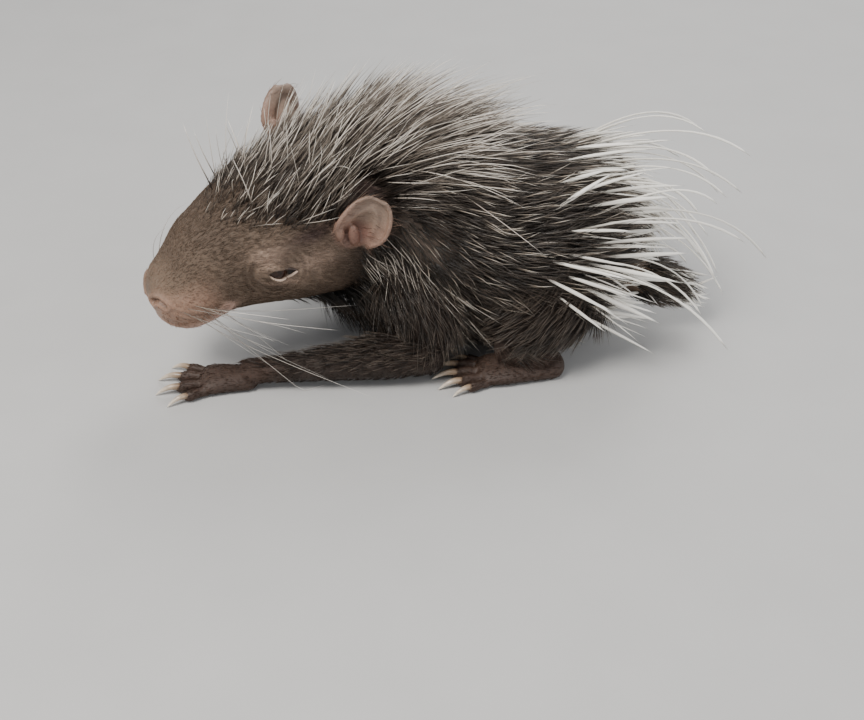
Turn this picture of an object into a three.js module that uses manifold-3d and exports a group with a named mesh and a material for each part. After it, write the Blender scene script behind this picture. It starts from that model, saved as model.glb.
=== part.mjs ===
// A young Old World porcupine at life size, crouching on a flat floor with its belly down,
// its left forepaw stretched out and its head turned a little to its left.
// Millimetres, +Z up. The origin lies on the floor under the belly. The nose points to -X,
// the animal's left side faces -Y. Every sub-part is one closed solid in its own named mesh.
import * as THREE from "three";
import { mergeVertices } from "three/addons/utils/BufferGeometryUtils.js";
import Module from "manifold-3d";

const wasm = await Module();
wasm.setup();

// Driving sizes
const gap = 0.3; // clearance that neighbouring sub-parts keep
const floorSink = 1.2; // how far soft undersides are pressed flat on the floor
const restPlace = { x: 38, y: 0 }; // the spot under the belly that becomes the origin
const nose = { x: -107, y: -45.4, z: 44 };
const headPose = { turn: 28, nod: 10, lean: 8 }; // degrees: to its left, nose down, left down
const noseRound = 15; // length of the rounded nose end
const rumpRound = 27; // length of the rounded rump end
const eyeSize = { radius: 5.2, behind: 45, aside: 22, above: 5.5 };
const eyeOpeningSize = { aside: 6.5, below: 0.2, size: [5.4, 5, 3.9] };
const eyeMoundSize = [8.6, 7, 6.8];
const lidSize = { thick: 1, upperEdge: 2.2, lowerEdge: -2.4 };
const nostrilSize = { behind: 2.9, aside: 5.2, above: 0.4, size: [2.6, 1, 2.1], turn: 30, lean: 35 };
const mouthLine = { cornerAt: 23, cornerAngle: 117, frontAt: 5.5, height: 0.9, deep: 1.2, steps: 10 };
const earSize = {
  length: 25, sunk: 3, width: 22, root: 0.6, thick: 1.2, cup: 4, bend: 8, bendEnd: 0.36,
  columns: 7, rows: 5,
};
// The two knobs on the hollow face of an ear: place across and up it, and half sizes.
const earKnobs = [
  { u: -0.55, v: 0.3, size: [2.2, 2, 3.4] },
  { u: 0.35, v: 0.26, size: [2, 2, 3] },
];
const wristCut = 4; // how far before its end a foreleg is parted from the paw
const coatRootDepth = 2.6; // how deep every spine and lock is rooted
const slimmest = 0.55; // least thickness of a spine or a lock away from its tip
const lifts = [0, 8, 16, 24]; // degrees by which one that would cross a neighbour is bent up
const floorRoom = 0.6; // clearance that spines and locks keep from the floor

// The trunk from the nose to the rump. The head's rows stand behind the nose tip and above
// the head's own axis, the others at places of their own. Side is the half width, rise and
// drop the heights above and below the middle, and tilt leans a section to the left.
const headRows = [
  { behind: 1.5, above: -1.5, side: 13.8, rise: 11.2, drop: 15.7 },
  { behind: 14, above: -2.9, side: 15.5, rise: 15.2, drop: 18.5 },
  { behind: 28, above: -0.4, side: 21, rise: 22.3, drop: 18.3 },
  { behind: 48, above: 2.5, side: 26.5, rise: 28, drop: 26.5 },
  { behind: 64, above: 3.5, side: 27.5, rise: 28.5, drop: 31 },
  { behind: 78, above: 3, side: 28.5, rise: 28.5, drop: 36.5 },
];
const bodyRows = [
  { x: -22, y: -4, z: 61, side: 30, rise: 29.5, drop: 40, tilt: 3 },
  { x: -5, y: -0.6, z: 54.5, side: 33, rise: 33.5, drop: 43, tilt: 1 },
  { x: 13, y: 0, z: 47, side: 36, rise: 36.5, drop: 44.5, tilt: 0 },
  { x: 31, y: 0, z: 42, side: 38.5, rise: 38, drop: 42 + floorSink, tilt: 0 },
  { x: 49, y: 0, z: 39.5, side: 38, rise: 37, drop: 39.5 + floorSink, tilt: 0 },
  { x: 63, y: 0, z: 37, side: 34.5, rise: 34, drop: 34.5, tilt: 0 },
  { x: 76, y: 0, z: 34, side: 30, rise: 30, drop: 28.5, tilt: 0 },
];
// Soft swellings and hollows of the head, alike on both sides: place, reach and height.
const headForms = [
  { behind: 12, angle: 84, along: 9, around: 30, height: 1.8 },
  { behind: 14, angle: 165, along: 7, around: 30, height: 1.2 },
  { behind: 30, angle: 92, along: 8, around: 28, height: -1.4 },
  { behind: 46, angle: 58, along: 10, around: 15, height: 1.6 },
  { behind: 60, angle: 112, along: 13, around: 26, height: 2.4 },
];

// Each ear in the head's measures: its root, the way it rises and the way it faces.
const earPoses = {
  left: { root: [72.5, 28.7, 10.5], rise: [0.6, 0.15, 0.78], face: [-0.35, 0.93, 0.1] },
  right: { root: [75.1, 25.7, 19.9], rise: [0.25, 0.45, 0.86], face: [-0.45, 0.85, -0.28] },
};

// The legs: an upper part that starts inside the trunk, and a lower one to the wrist or heel.
const foreRows = {
  left: {
    upper: [
      { x: -12, y: -20, z: 44, side: 11, rise: 15, drop: 15 },
      { x: -3, y: -30, z: 28, side: 11, rise: 13.5, drop: 13 },
      { x: -1, y: -36, z: 14, side: 9, rise: 10, drop: 10 },
    ],
    lower: [
      { x: 5, y: -37, z: 12.5, side: 8, rise: 8.5, drop: 8.5 },
      { x: -14, y: -40, z: 11.5, side: 8.2, rise: 8.5, drop: 8.5 },
      { x: -38, y: -42, z: 9.5, side: 6.6, rise: 6.5, drop: 6.5 },
      { x: -61, y: -43, z: 7.5, side: 5.4, rise: 5, drop: 5 },
      { x: -75, y: -43.5, z: 6.5, side: 6, rise: 4.6, drop: 4.6 },
    ],
  },
  right: {
    upper: [
      { x: -8, y: 20, z: 44, side: 11, rise: 15, drop: 15 },
      { x: 1, y: 29, z: 28, side: 11, rise: 13.5, drop: 13 },
      { x: 3, y: 34, z: 14, side: 9, rise: 10, drop: 10 },
    ],
    lower: [
      { x: 9, y: 35, z: 12.5, side: 8, rise: 8.5, drop: 8.5 },
      { x: -6, y: 35.5, z: 11.5, side: 7.6, rise: 8, drop: 8 },
      { x: -20, y: 35.5, z: 9, side: 6, rise: 6, drop: 6 },
      { x: -32, y: 35, z: 6.5, side: 6, rise: 4.6, drop: 4.6 },
    ],
  },
};
const hindRows = {
  upper: [
    { x: 58, y: -20, z: 38, side: 14, rise: 18, drop: 18 },
    { x: 43, y: -30, z: 28, side: 13.5, rise: 16, drop: 17 },
    { x: 28, y: -34.5, z: 19, side: 10, rise: 10.5, drop: 11 },
  ],
  lower: [
    { x: 25, y: -34.5, z: 16, side: 8.5, rise: 9, drop: 9 },
    { x: 37, y: -34.5, z: 11.5, side: 8, rise: 8, drop: 8 },
    { x: 48, y: -34.5, z: 8.5, side: 6.8, rise: 6.8, drop: 6.8 },
  ],
};
const heel = { x: 50, y: -34.5 };
const foreFoot = { behind: 8, length: 15, wide: 8.6, deep: 4.8, toeRoots: 12 };
const hindFoot = { behind: 2, length: 33, wide: 9.4, deep: 5, toeRoots: 30 };

// Toes from the outer side inwards: degrees of spread, place across, length, half thickness
// and length of the claw.
const foreToes = [
  { spread: 26, across: 6.4, length: 9, thick: 2.5, claw: 7 },
  { spread: 9, across: 2.4, length: 12, thick: 2.8, claw: 8 },
  { spread: -6, across: -2, length: 12, thick: 2.8, claw: 8 },
  { spread: -22, across: -6, length: 10, thick: 2.5, claw: 7 },
];
const hindToes = [
  { spread: 20, across: 7.6, length: 8, thick: 2.4, claw: 6.5 },
  { spread: 10, across: 4, length: 11, thick: 2.7, claw: 8 },
  { spread: 0, across: 0.2, length: 12, thick: 2.8, claw: 8.5 },
  { spread: -10, across: -3.8, length: 11, thick: 2.7, claw: 8 },
  { spread: -24, across: -7.2, length: 7, thick: 2.3, claw: 6 },
];

const tailRows = [
  { x: 72, y: 0, z: 27, side: 9.5, rise: 9.5, drop: 9.5 },
  { x: 84, y: 0, z: 24, side: 9, rise: 9, drop: 9 },
  { x: 94, y: 0, z: 20.5, side: 7, rise: 7, drop: 7 },
  { x: 102, y: 0, z: 17.5, side: 4.8, rise: 4.8, drop: 4.8 },
];

// The kinds of spine and lock: width and thickness, sides and steps of the mesh, how girth
// runs from root to tip, how far the tip settles in degrees and how much it droops.
const mane = { width: 4.4, thick: 1.3, sides: 4, steps: 3, girth: "lock", settle: 24, droop: 0 };
const bristle = { width: 3.2, thick: 1.2, sides: 4, steps: 2, girth: "lock", settle: 16, droop: 0 };
const spine = { width: 1.6, thick: 1.6, sides: 3, steps: 2, girth: "lock", settle: 8, droop: 0 };
const quill = { width: 2.4, thick: 2.4, sides: 3, steps: 3, girth: "quill", settle: 8, droop: 0.1 };
const wand = { width: 1.4, thick: 1.4, sides: 3, steps: 4, girth: "wand", settle: 8, droop: 1 };

// The fields of the coat. Stations run along the limb and angles from its top to one side.
// Paired values belong to the first and the last row.
const headCoat = [
  { ...bristle, from: 44, to: 84, rows: 7, inner: 0, spread: [44, 60], count: [5, 7],
    length: [9, 24], rise: [32, 46], fan: -10, stray: 14, jitter: 2 },
];
const neckCoat = [
  { ...mane, from: 90, to: 116, rows: 5, inner: 0, spread: [60, 62], count: [9, 10],
    length: [28, 38], rise: [46, 42], fan: 14, stray: 14, jitter: 2 },
  { ...bristle, from: 90, to: 115, rows: 4, inner: 66, spread: [128, 132], count: [7, 7],
    length: [15, 20], rise: [20, 20], fan: 42, stray: 12, jitter: 2, width: 2.6 },
];
const torsoCoat = [
  { ...mane, from: 124, to: 143, rows: 4, inner: 0, spread: [58, 48], count: [9, 9],
    length: [35, 28], rise: [27, 19], fan: 12, stray: 12, jitter: 2 },
  { ...bristle, from: 124, to: 146, rows: 4, inner: 64, spread: [124, 122], count: [7, 7],
    length: [20, 20], rise: [18, 15], fan: 40, stray: 12, jitter: 2 },
  { ...spine, from: 148, to: 173, rows: 5, inner: 0, spread: [84, 88], count: [12, 13],
    length: [23, 25], rise: [17, 17], fan: 22, stray: 12, jitter: 3 },
  { ...bristle, from: 151, to: 176, rows: 4, inner: 92, spread: [122, 120], count: [5, 5],
    length: [19, 19], rise: [12, 12], fan: 34, stray: 12, jitter: 3 },
  { ...quill, from: 174, to: 193, rows: 5, inner: 0, spread: [98, 120], count: [12, 10],
    length: [36, 36], rise: [19, 12], fan: 20, stray: 14, jitter: 2 },
  { ...wand, from: 170, to: 188, rows: 3, inner: 6, spread: [74, 84], count: [6, 6],
    length: [76, 60], rise: [27, 16], fan: 26, stray: 16, jitter: 4 },
];
const tailCoat = [
  { ...spine, from: 12, to: 25, rows: 3, inner: 0, spread: [130, 150], count: [7, 6],
    length: [15, 18], rise: [22, 12], fan: 4, stray: 10, jitter: 1 },
];

// Small maths

const degree = Math.PI / 180;
const vector = (x, y, z) => new THREE.Vector3(x, y, z);
const skyward = vector(0, 0, 1);
const mix = (a, b, t) => a + (b - a) * t;

// Repeatable random numbers from 0 to 1.
function randomFrom(seed) {
  let state = seed;
  return () => {
    state = (state + 0x6d2b79f5) | 0;
    let t = Math.imul(state ^ (state >>> 15), 1 | state);
    t = (t + Math.imul(t ^ (t >>> 7), 61 | t)) ^ t;
    return ((t ^ (t >>> 14)) >>> 0) / 4294967296;
  };
}

// One value of a smooth curve through rows that stand at uneven stations.
function smooth(stations, values, at) {
  const last = stations.length - 1;
  let i = 0;
  while (i < last - 1 && at > stations[i + 1]) i++;
  const slope = (k) => {
    const a = Math.max(0, k - 1);
    const b = Math.min(last, k + 1);
    return (values[b] - values[a]) / (stations[b] - stations[a]);
  };
  const span = stations[i + 1] - stations[i];
  const t = (at - stations[i]) / span;
  const t2 = t * t;
  const t3 = t2 * t;
  return (
    values[i] * (2 * t3 - 3 * t2 + 1) +
    slope(i) * span * (t3 - 2 * t2 + t) +
    values[i + 1] * (3 * t2 - 2 * t3) +
    slope(i + 1) * span * (t3 - t2)
  );
}

// Geometry to solid and back

function solidOf(geometry) {
  const bare = geometry.clone();
  bare.deleteAttribute("normal");
  bare.deleteAttribute("uv");
  const merged = mergeVertices(bare, 1e-4);
  return new wasm.Manifold(
    new wasm.Mesh({
      numProp: 3,
      vertProperties: merged.attributes.position.array,
      triVerts: new Uint32Array(merged.index.array),
    }),
  );
}

function geometryOf(solid) {
  const mesh = solid.getMesh();
  const points = new Float32Array(mesh.numVert * 3);
  for (let i = 0; i < mesh.numVert; i++) {
    points.set(mesh.vertProperties.subarray(i * mesh.numProp, i * mesh.numProp + 3), i * 3);
  }
  const geometry = new THREE.BufferGeometry();
  geometry.setAttribute("position", new THREE.BufferAttribute(points, 3));
  geometry.setIndex(new THREE.BufferAttribute(mesh.triVerts, 1));
  geometry.computeVertexNormals();
  return geometry;
}

const union = (solids) => wasm.Manifold.union(solids);

// The largest closed surface of a solid, without scraps or sealed hollows.
function wholeOf(solid) {
  return solid.decompose().reduce((a, b) => (b.volume() > a.volume() ? b : a));
}

// A solid of rings of points with the same count, closed by a point at each end. Seen from
// the end, the points of a ring run against the clock.
function ringsSolid(rings, startPoint, endPoint) {
  const sides = rings[0].length;
  const points = [startPoint, ...rings.flat(), endPoint];
  const faces = [];
  const at = (ring, side) => 1 + ring * sides + (side % sides);
  for (let j = 0; j < sides; j++) {
    faces.push(0, at(0, j + 1), at(0, j));
    for (let i = 0; i + 1 < rings.length; i++) {
      faces.push(at(i, j), at(i, j + 1), at(i + 1, j + 1));
      faces.push(at(i, j), at(i + 1, j + 1), at(i + 1, j));
    }
    faces.push(points.length - 1, at(rings.length - 1, j), at(rings.length - 1, j + 1));
  }
  const geometry = new THREE.BufferGeometry().setFromPoints(points);
  geometry.setIndex(faces);
  return solidOf(geometry);
}

function ellipsoid(centre, [x, y, z], turn, across = 12, down = 8) {
  const geometry = new THREE.SphereGeometry(1, across, down);
  geometry.scale(x, y, z);
  geometry.applyQuaternion(turn);
  geometry.translate(centre.x, centre.y, centre.z);
  return solidOf(geometry);
}

const aboveFloor = (solid) => solid.trimByPlane([0, 0, 1], 0);

// A limb is a smooth tube of elliptical sections, rounded at both ends. Angle 0 is its top and
// angles grow towards its left. Its surface can also be asked for at any place.
class Limb {
  constructor(rows, { startRound, endRound, sideways = null, forms = [] }) {
    this.rows = rows;
    this.sideways = sideways;
    this.forms = forms;
    this.startRound = startRound;
    this.endRound = endRound;
    this.stations = [0];
    for (let i = 1; i < rows.length; i++) {
      const [a, b] = [rows[i - 1], rows[i]];
      const step = Math.hypot(b.x - a.x, b.y - a.y, b.z - a.z);
      this.stations.push(this.stations[i - 1] + step);
    }
    this.length = this.stations.at(-1);
  }

  value(name, at) {
    return smooth(this.stations, this.rows.map((row) => row[name] ?? 0), at);
  }

  centre(at) {
    return vector(this.value("x", at), this.value("y", at), this.value("z", at));
  }

  frame(at) {
    const step = 2;
    const a = this.centre(Math.max(0, at - step));
    const b = this.centre(Math.min(this.length, at + step));
    const along = b.sub(a).normalize();
    const level = this.sideways?.clone() ?? along.clone().cross(skyward);
    const left = level.addScaledVector(along, -level.dot(along)).normalize();
    left.applyAxisAngle(along, this.value("tilt", at) * degree);
    const up = left.clone().cross(along);
    return { centre: this.centre(at), along, left, up };
  }

  // How much of the full section is left within the rounded ends.
  fullness(at) {
    const ease = (distance, reach) => {
      if (distance >= reach) return 1;
      const t = 1 - Math.max(0, distance) / reach;
      return Math.pow(Math.max(0, 1 - Math.pow(t, 2.2)), 1 / 2.2);
    };
    return ease(at, this.startRound) * ease(this.length - at, this.endRound);
  }

  swelling(at, angle) {
    let sum = 0;
    for (const form of this.forms) {
      const away = (at - form.behind) / form.along;
      const round = (Math.abs(angle) - form.angle) / form.around;
      sum += form.height * Math.exp(-away * away - round * round);
    }
    return sum;
  }

  // The point of the surface at a station and an angle in degrees from -180 to 180.
  surface(at, angle, grow = 0) {
    const { centre, left, up } = this.frame(at);
    const full = this.fullness(at);
    const more = (this.swelling(at, angle) + grow) * full;
    const a = angle * degree;
    const height = this.value(Math.cos(a) > 0 ? "rise" : "drop", at) * full + more;
    const width = this.value("side", at) * full + more;
    return centre.addScaledVector(left, width * Math.sin(a)).addScaledVector(up, height * Math.cos(a));
  }

  normal(at, angle) {
    const step = 1.5;
    const ahead = this.surface(Math.min(this.length - 0.1, at + step), angle);
    const behind = this.surface(Math.max(0.1, at - step), angle);
    const round = this.surface(at, angle + 3).sub(this.surface(at, angle - 3));
    return round.cross(ahead.sub(behind)).normalize();
  }

  // Stations of the rings, which close up towards the rounded ends.
  ringStations(startRings, middleRings, endRings) {
    const list = [];
    for (let i = 1; i <= startRings; i++) {
      list.push(this.startRound * (1 - Math.cos((i / startRings) * 90 * degree)));
    }
    const from = this.startRound;
    const to = this.length - this.endRound;
    for (let i = 1; i <= middleRings; i++) list.push(mix(from, to, i / (middleRings + 1)));
    for (let i = endRings; i >= 1; i--) {
      list.push(this.length - this.endRound * (1 - Math.cos((i / endRings) * 90 * degree)));
    }
    return list;
  }

  solid(sides, startRings, middleRings, endRings, grow = 0) {
    const rings = this.ringStations(startRings, middleRings, endRings).map((at) => {
      const ring = [];
      for (let j = 0; j < sides; j++) {
        const angle = (360 * j) / sides;
        ring.push(this.surface(at, angle > 180 ? angle - 360 : angle, grow));
      }
      return ring;
    });
    const start = this.frame(0);
    const end = this.frame(this.length);
    const startPoint = start.centre.addScaledVector(start.along, -grow);
    const endPoint = end.centre.addScaledVector(end.along, grow);
    return ringsSolid(rings, startPoint, endPoint);
  }
}

// Trunk

const headEuler = new THREE.Euler(
  headPose.lean * degree,
  -headPose.nod * degree,
  headPose.turn * degree,
  "ZYX",
);
const headSpin = new THREE.Quaternion().setFromEuler(headEuler);

// A direction and a place given in the head's own measures: back, to a side and up. Side 1 is
// the animal's left and side -1 its right.
function headWay([back, aside, up], side) {
  return vector(back, -aside * side, up).applyQuaternion(headSpin);
}

function headPlace(place, side) {
  return headWay(place, side).add(vector(nose.x, nose.y, nose.z));
}

const trunkRows = [
  ...headRows.map(({ behind, above, ...sizes }) => {
    const { x, y, z } = headPlace([behind, 0, above], 1);
    return { x, y, z, ...sizes, tilt: headPose.lean };
  }),
  ...bodyRows,
];
const trunk = new Limb(trunkRows, { startRound: noseRound, endRound: rumpRound, forms: headForms });
const neckStart = 87; // station of the cut behind the ears
const neckEnd = 120; // station of the cut before the shoulders

const trunkSolid = (grow) => trunk.solid(20, 4, 17, 4, grow);
const trunkBody = aboveFloor(trunkSolid(0));
const trunkGrown = trunkSolid(gap);

// The slice of a solid between two stations of the trunk, half a gap inside each cut.
function sliceOf(solid, from, to) {
  let piece = solid;
  if (from !== null) {
    const { centre, along } = trunk.frame(from);
    piece = piece.trimByPlane(along.toArray(), centre.dot(along) + gap / 2);
  }
  if (to !== null) {
    const { centre, along } = trunk.frame(to);
    along.negate();
    piece = piece.trimByPlane(along.toArray(), centre.dot(along) + gap / 2);
  }
  return piece;
}

// Spines and locks

// The middle line of one that starts below the skin, leaves it at a rise above its lie and
// settles or droops.
function hairLine({ root, out, lie, length, rise, settle, droop, steps }) {
  const points = [root.clone().addScaledVector(out, -coatRootDepth)];
  const here = root.clone();
  for (let i = 1; i <= steps; i++) {
    const t = (i - 0.5) / steps;
    const angle = mix(rise, rise - settle, t) * degree;
    const heading = lie.clone().multiplyScalar(Math.cos(angle)).addScaledVector(out, Math.sin(angle));
    heading.z -= droop * t * t;
    here.addScaledVector(heading.normalize(), length / steps);
    points.push(here.clone());
  }
  return points;
}

// Girth along a spine or lock, as a share of its full width.
const girths = {
  lock: (t) => 1 - 0.75 * t * t,
  quill: (t) => 0.6 + 0.4 * Math.sin(Math.PI * Math.min(1, t * 1.3)),
  wand: (t) => 1 - 0.5 * t,
};

// A tapered solid along a middle line: flat where width is over thickness, and pointed.
function hairSolid(line, { out, width, thick, sides, girth, grow = 0 }) {
  const rings = [];
  const across = line.at(-1).clone().sub(line[0]).cross(out).normalize();
  for (let i = 0; i + 1 < line.length; i++) {
    const t = i / (line.length - 1);
    const heading = line[i + 1].clone().sub(line[Math.max(0, i - 1)]).normalize();
    const flat = across.clone().cross(heading).normalize();
    const share = girths[girth](t);
    const halfWidth = Math.max(slimmest, width * share) / 2 + grow;
    const halfThick = Math.max(slimmest, thick * share) / 2 + grow;
    const ring = [];
    for (let j = 0; j < sides; j++) {
      const a = (j / sides) * 2 * Math.PI;
      const point = line[i].clone();
      point.addScaledVector(flat, halfThick * Math.sin(a));
      point.addScaledVector(across, -halfWidth * Math.cos(a));
      ring.push(point);
    }
    rings.push(ring);
  }
  const end = line.at(-1).clone();
  if (grow) end.add(line.at(-1).clone().sub(line.at(-2)).setLength(grow));
  return ringsSolid(rings, line[0].clone(), end);
}

function boxesMeet(a, b) {
  const [p, q] = [a.boundingBox(), b.boundingBox()];
  return [0, 1, 2].every((k) => p.min[k] < q.max[k] && q.min[k] < p.max[k]);
}

const meets = (a, b) => boxesMeet(a, b) && !a.intersect(b).isEmpty();

// Plants one spine or lock, bent up step by step until it clears its neighbours, or none.
function planted(hair, obstacles) {
  for (const lift of lifts) {
    const line = hairLine({ ...hair, rise: hair.rise + lift });
    const lowest = Math.min(...line.slice(1).map((point) => point.z));
    if (lowest < hair.thick + floorRoom) continue;
    const roomy = hairSolid(line, { ...hair, grow: gap });
    if (!obstacles.some((solid) => meets(roomy, solid))) return hairSolid(line, hair);
  }
  return null;
}

// One field of the coat: staggered rows along a limb, each spine with its own small changes.
function coatField(limb, field, random, obstacles) {
  const solids = [];
  const vary = (amount) => 1 + (random() * 2 - 1) * amount;
  const stray = (amount) => (random() - 0.5) * amount;
  for (let row = 0; row < field.rows; row++) {
    const t = row / (field.rows - 1);
    const at = mix(field.from, field.to, t);
    const spread = mix(...field.spread, t);
    const count = Math.round(mix(...field.count, t));
    for (let i = 0; i < count; i++) {
      const place = (i + (row % 2 ? 0.7 : 0.3) + stray(0.4)) / count;
      const share = place * 2 - 1;
      const angle = Math.sign(share) * mix(field.inner, spread, Math.abs(share));
      const station = at + stray(field.jitter);
      const out = limb.normal(station, angle);
      const { along } = limb.frame(station);
      const back = along.clone().addScaledVector(out, -along.dot(out)).normalize();
      const downward = back.clone().cross(out).multiplyScalar(Math.sign(angle));
      const sway = ((field.fan * Math.abs(angle)) / 90 + stray(field.stray)) * degree;
      const lie = back.multiplyScalar(Math.cos(sway)).addScaledVector(downward, Math.sin(sway));
      const hair = {
        ...field,
        root: limb.surface(station, angle),
        out,
        lie,
        length: mix(...field.length, t) * vary(0.16),
        rise: mix(...field.rise, t) * vary(0.15),
        width: field.width * vary(0.12),
      };
      const solid = planted(hair, obstacles);
      if (solid) solids.push(solid);
    }
  }
  return solids;
}

function coated(core, limb, fields, seed, obstacles) {
  const random = randomFrom(seed);
  const hairs = fields.flatMap((field) => coatField(limb, field, random, obstacles));
  return wholeOf(union([core, ...hairs]));
}

// Head

const eyePlace = (side) => headPlace([eyeSize.behind, eyeSize.aside, eyeSize.above], side);
const ball = (side, radius) => ellipsoid(eyePlace(side), [radius, radius, radius], headSpin, 10, 6);

// The mound of flesh round one eye, the opening cut into it and the two lids set back in.
function lidMound(side) {
  return ellipsoid(eyePlace(side), eyeMoundSize, headSpin, 12, 7);
}

function eyeOpening(side) {
  const { aside, below, size } = eyeOpeningSize;
  const middle = headPlace([eyeSize.behind, eyeSize.aside + aside, eyeSize.above - below], side);
  return union([ellipsoid(middle, size, headSpin, 10, 6), ball(side, eyeSize.radius + gap)]);
}

function eyelids(side) {
  const inner = ball(side, eyeSize.radius + gap);
  const shell = ball(side, eyeSize.radius + gap + lidSize.thick).subtract(inner);
  const up = headWay([-0.12, 0, 1], side).normalize();
  const level = eyePlace(side).dot(up);
  const upper = shell.trimByPlane(up.toArray(), level + lidSize.upperEdge);
  const down = headWay([0.04, 0, -1], side).normalize();
  const lower = shell.trimByPlane(down.toArray(), eyePlace(side).dot(down) - lidSize.lowerEdge);
  return union([upper, lower]);
}

function nostril(side) {
  const { behind, aside, above, size } = nostrilSize;
  const lean = new THREE.Quaternion().setFromAxisAngle(vector(1, 0, 0), -nostrilSize.lean * side * degree);
  const turn = new THREE.Quaternion().setFromAxisAngle(skyward, nostrilSize.turn * side * degree);
  const spin = headSpin.clone().multiply(turn).multiply(lean);
  return ellipsoid(headPlace([behind, aside, above], side), size, spin, 8, 4);
}

// The line of the mouth: a groove round the front of the muzzle from corner to corner.
function mouthGroove() {
  const { cornerAt, cornerAngle, frontAt, deep, steps } = mouthLine;
  const rings = [];
  for (let i = 0; i <= steps; i++) {
    const share = (i / steps) * 2 - 1;
    const reach = Math.abs(share);
    const side = share < 0 ? 1 : -1;
    const at = mix(frontAt, cornerAt, Math.pow(reach, 1.6));
    const angle = side * mix(180, cornerAngle, Math.pow(reach, 0.8));
    const middle = trunk.surface(at, angle);
    const out = trunk.normal(at, angle);
    const lift = headWay([0, 0, 1], 1).addScaledVector(headWay([1, 0, 0], 1), -0.5);
    lift.addScaledVector(out, -lift.dot(out)).normalize();
    const height = mouthLine.height * (1 - 0.6 * Math.pow(reach, 6));
    const corners = [[2, 0], [0.4, height], [-deep, 0], [0.4, -height]];
    rings.push(
      corners.map(([far, high]) =>
        middle.clone().addScaledVector(out, far).addScaledVector(lift, high),
      ),
    );
  }
  const middleOf = (ring) => ring[0].clone().add(ring[2]).multiplyScalar(0.5);
  return ringsSolid(rings, middleOf(rings[0]), middleOf(rings.at(-1)));
}

// Ears

// One ear: a cupped, rounded flap of even thickness. u runs across it and v from root to rim.
function earFlap(side) {
  const pose = side > 0 ? earPoses.left : earPoses.right;
  const { columns, rows } = earSize;
  const root = headPlace(pose.root, side);
  const rise = headWay(pose.rise, side).normalize();
  const face = headWay(pose.face, side);
  face.addScaledVector(rise, -face.dot(rise)).normalize();
  const across = rise.clone().cross(face);
  const sheet = (u, v) => {
    const closing = Math.pow(Math.max(0, v - 0.3) / 0.71, 2.4);
    const outline = Math.sqrt(Math.max(0, 1 - closing));
    const flare = mix(earSize.root, 1, Math.sin(Math.min(1, v * 1.7) * 90 * degree));
    const x = u * (earSize.width / 2) * flare * outline;
    const bow = earSize.cup * (1 - 0.4 * v * v) * (u * u * outline * outline - 0.5);
    const bend = earSize.bend * Math.pow(Math.max(0, 1 - v / earSize.bendEnd), 2);
    return root
      .clone()
      .addScaledVector(rise, v * earSize.length - earSize.sunk)
      .addScaledVector(across, x)
      .addScaledVector(face, bow - bend);
  };
  const layer = (offset) => {
    const grid = [];
    for (let r = 0; r <= rows; r++) {
      for (let c = 0; c <= columns; c++) {
        const v = Math.min(0.985, Math.pow(r / rows, 0.85));
        const u = (c / columns) * 2 - 1;
        const wide = sheet(Math.min(1, u + 0.02), v).sub(sheet(Math.max(-1, u - 0.02), v));
        const high = sheet(u, Math.min(0.985, v + 0.01)).sub(sheet(u, v - 0.01));
        grid.push(sheet(u, v).addScaledVector(high.cross(wide).normalize(), offset));
      }
    }
    return grid;
  };
  const fronts = layer(-earSize.thick / 2);
  const backs = layer(earSize.thick / 2);
  const points = [...fronts, ...backs];
  const faces = [];
  const wide = columns + 1;
  const behind = fronts.length;
  for (let r = 0; r < rows; r++) {
    for (let c = 0; c < columns; c++) {
      const a = r * wide + c;
      const [b, d, e] = [a + 1, a + wide, a + wide + 1];
      faces.push(a, b, e, a, e, d);
      faces.push(a + behind, e + behind, b + behind, a + behind, d + behind, e + behind);
    }
  }
  const rim = [];
  for (let c = 0; c < columns; c++) rim.push(c);
  for (let r = 0; r < rows; r++) rim.push(r * wide + columns);
  for (let c = columns; c > 0; c--) rim.push(rows * wide + c);
  for (let r = rows; r > 0; r--) rim.push(r * wide);
  rim.forEach((a, i) => {
    const b = rim[(i + 1) % rim.length];
    faces.push(b, a, a + behind, b, a + behind, b + behind);
  });
  const geometry = new THREE.BufferGeometry().setFromPoints(points);
  geometry.setIndex(faces);
  return { flap: solidOf(geometry), at: (u, v) => sheet(u, v).addScaledVector(face, 0.6) };
}

// An ear with the two knobs that stand on its hollow face.
function ear(side) {
  const { flap, at } = earFlap(side);
  const knobs = earKnobs.map(({ u, v, size }) => ellipsoid(at(u, v), size, headSpin, 6, 4));
  return wholeOf(union([flap, ...knobs]).subtract(trunkGrown));
}

// Legs and feet

const leftward = vector(0, -1, 0);
const mirrored = (rows) => rows.map((row) => ({ ...row, y: -row.y }));

function legSolid({ upper, lower }) {
  const thigh = new Limb(upper, { startRound: 8, endRound: 7, sideways: leftward });
  const shank = new Limb(lower, { startRound: 7, endRound: 6, sideways: leftward });
  return aboveFloor(union([thigh.solid(10, 2, 2, 2), shank.solid(10, 2, 3, 2)]));
}

// One toe from its root to its tip on the floor, with a curved claw at the end.
function toeSolids(root, heading, { length, thick, claw }) {
  const place = (far, height) => root.clone().addScaledVector(heading, far).setZ(height);
  const row = (far, high, size) => {
    const { x, y, z } = place(far, thick * high);
    return { x, y, z, side: thick * size * 0.9, rise: thick * size, drop: thick * size };
  };
  const rows = [row(-2, 0.9, 1), row(length * 0.5, 1.02, 0.92), row(length, 0.72, 0.8)];
  const flesh = new Limb(rows, { startRound: thick, endRound: thick });
  const line = [
    place(length - 3.4, thick * 0.9),
    place(length + claw * 0.45, thick * 0.95),
    place(length + claw, 0.35),
  ];
  const shape = { out: skyward, width: thick * 1.1, thick: thick * 1.2, sides: 4, girth: "lock" };
  return [flesh.solid(5, 1, 0, 1), hairSolid(line, shape)];
}

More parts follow.
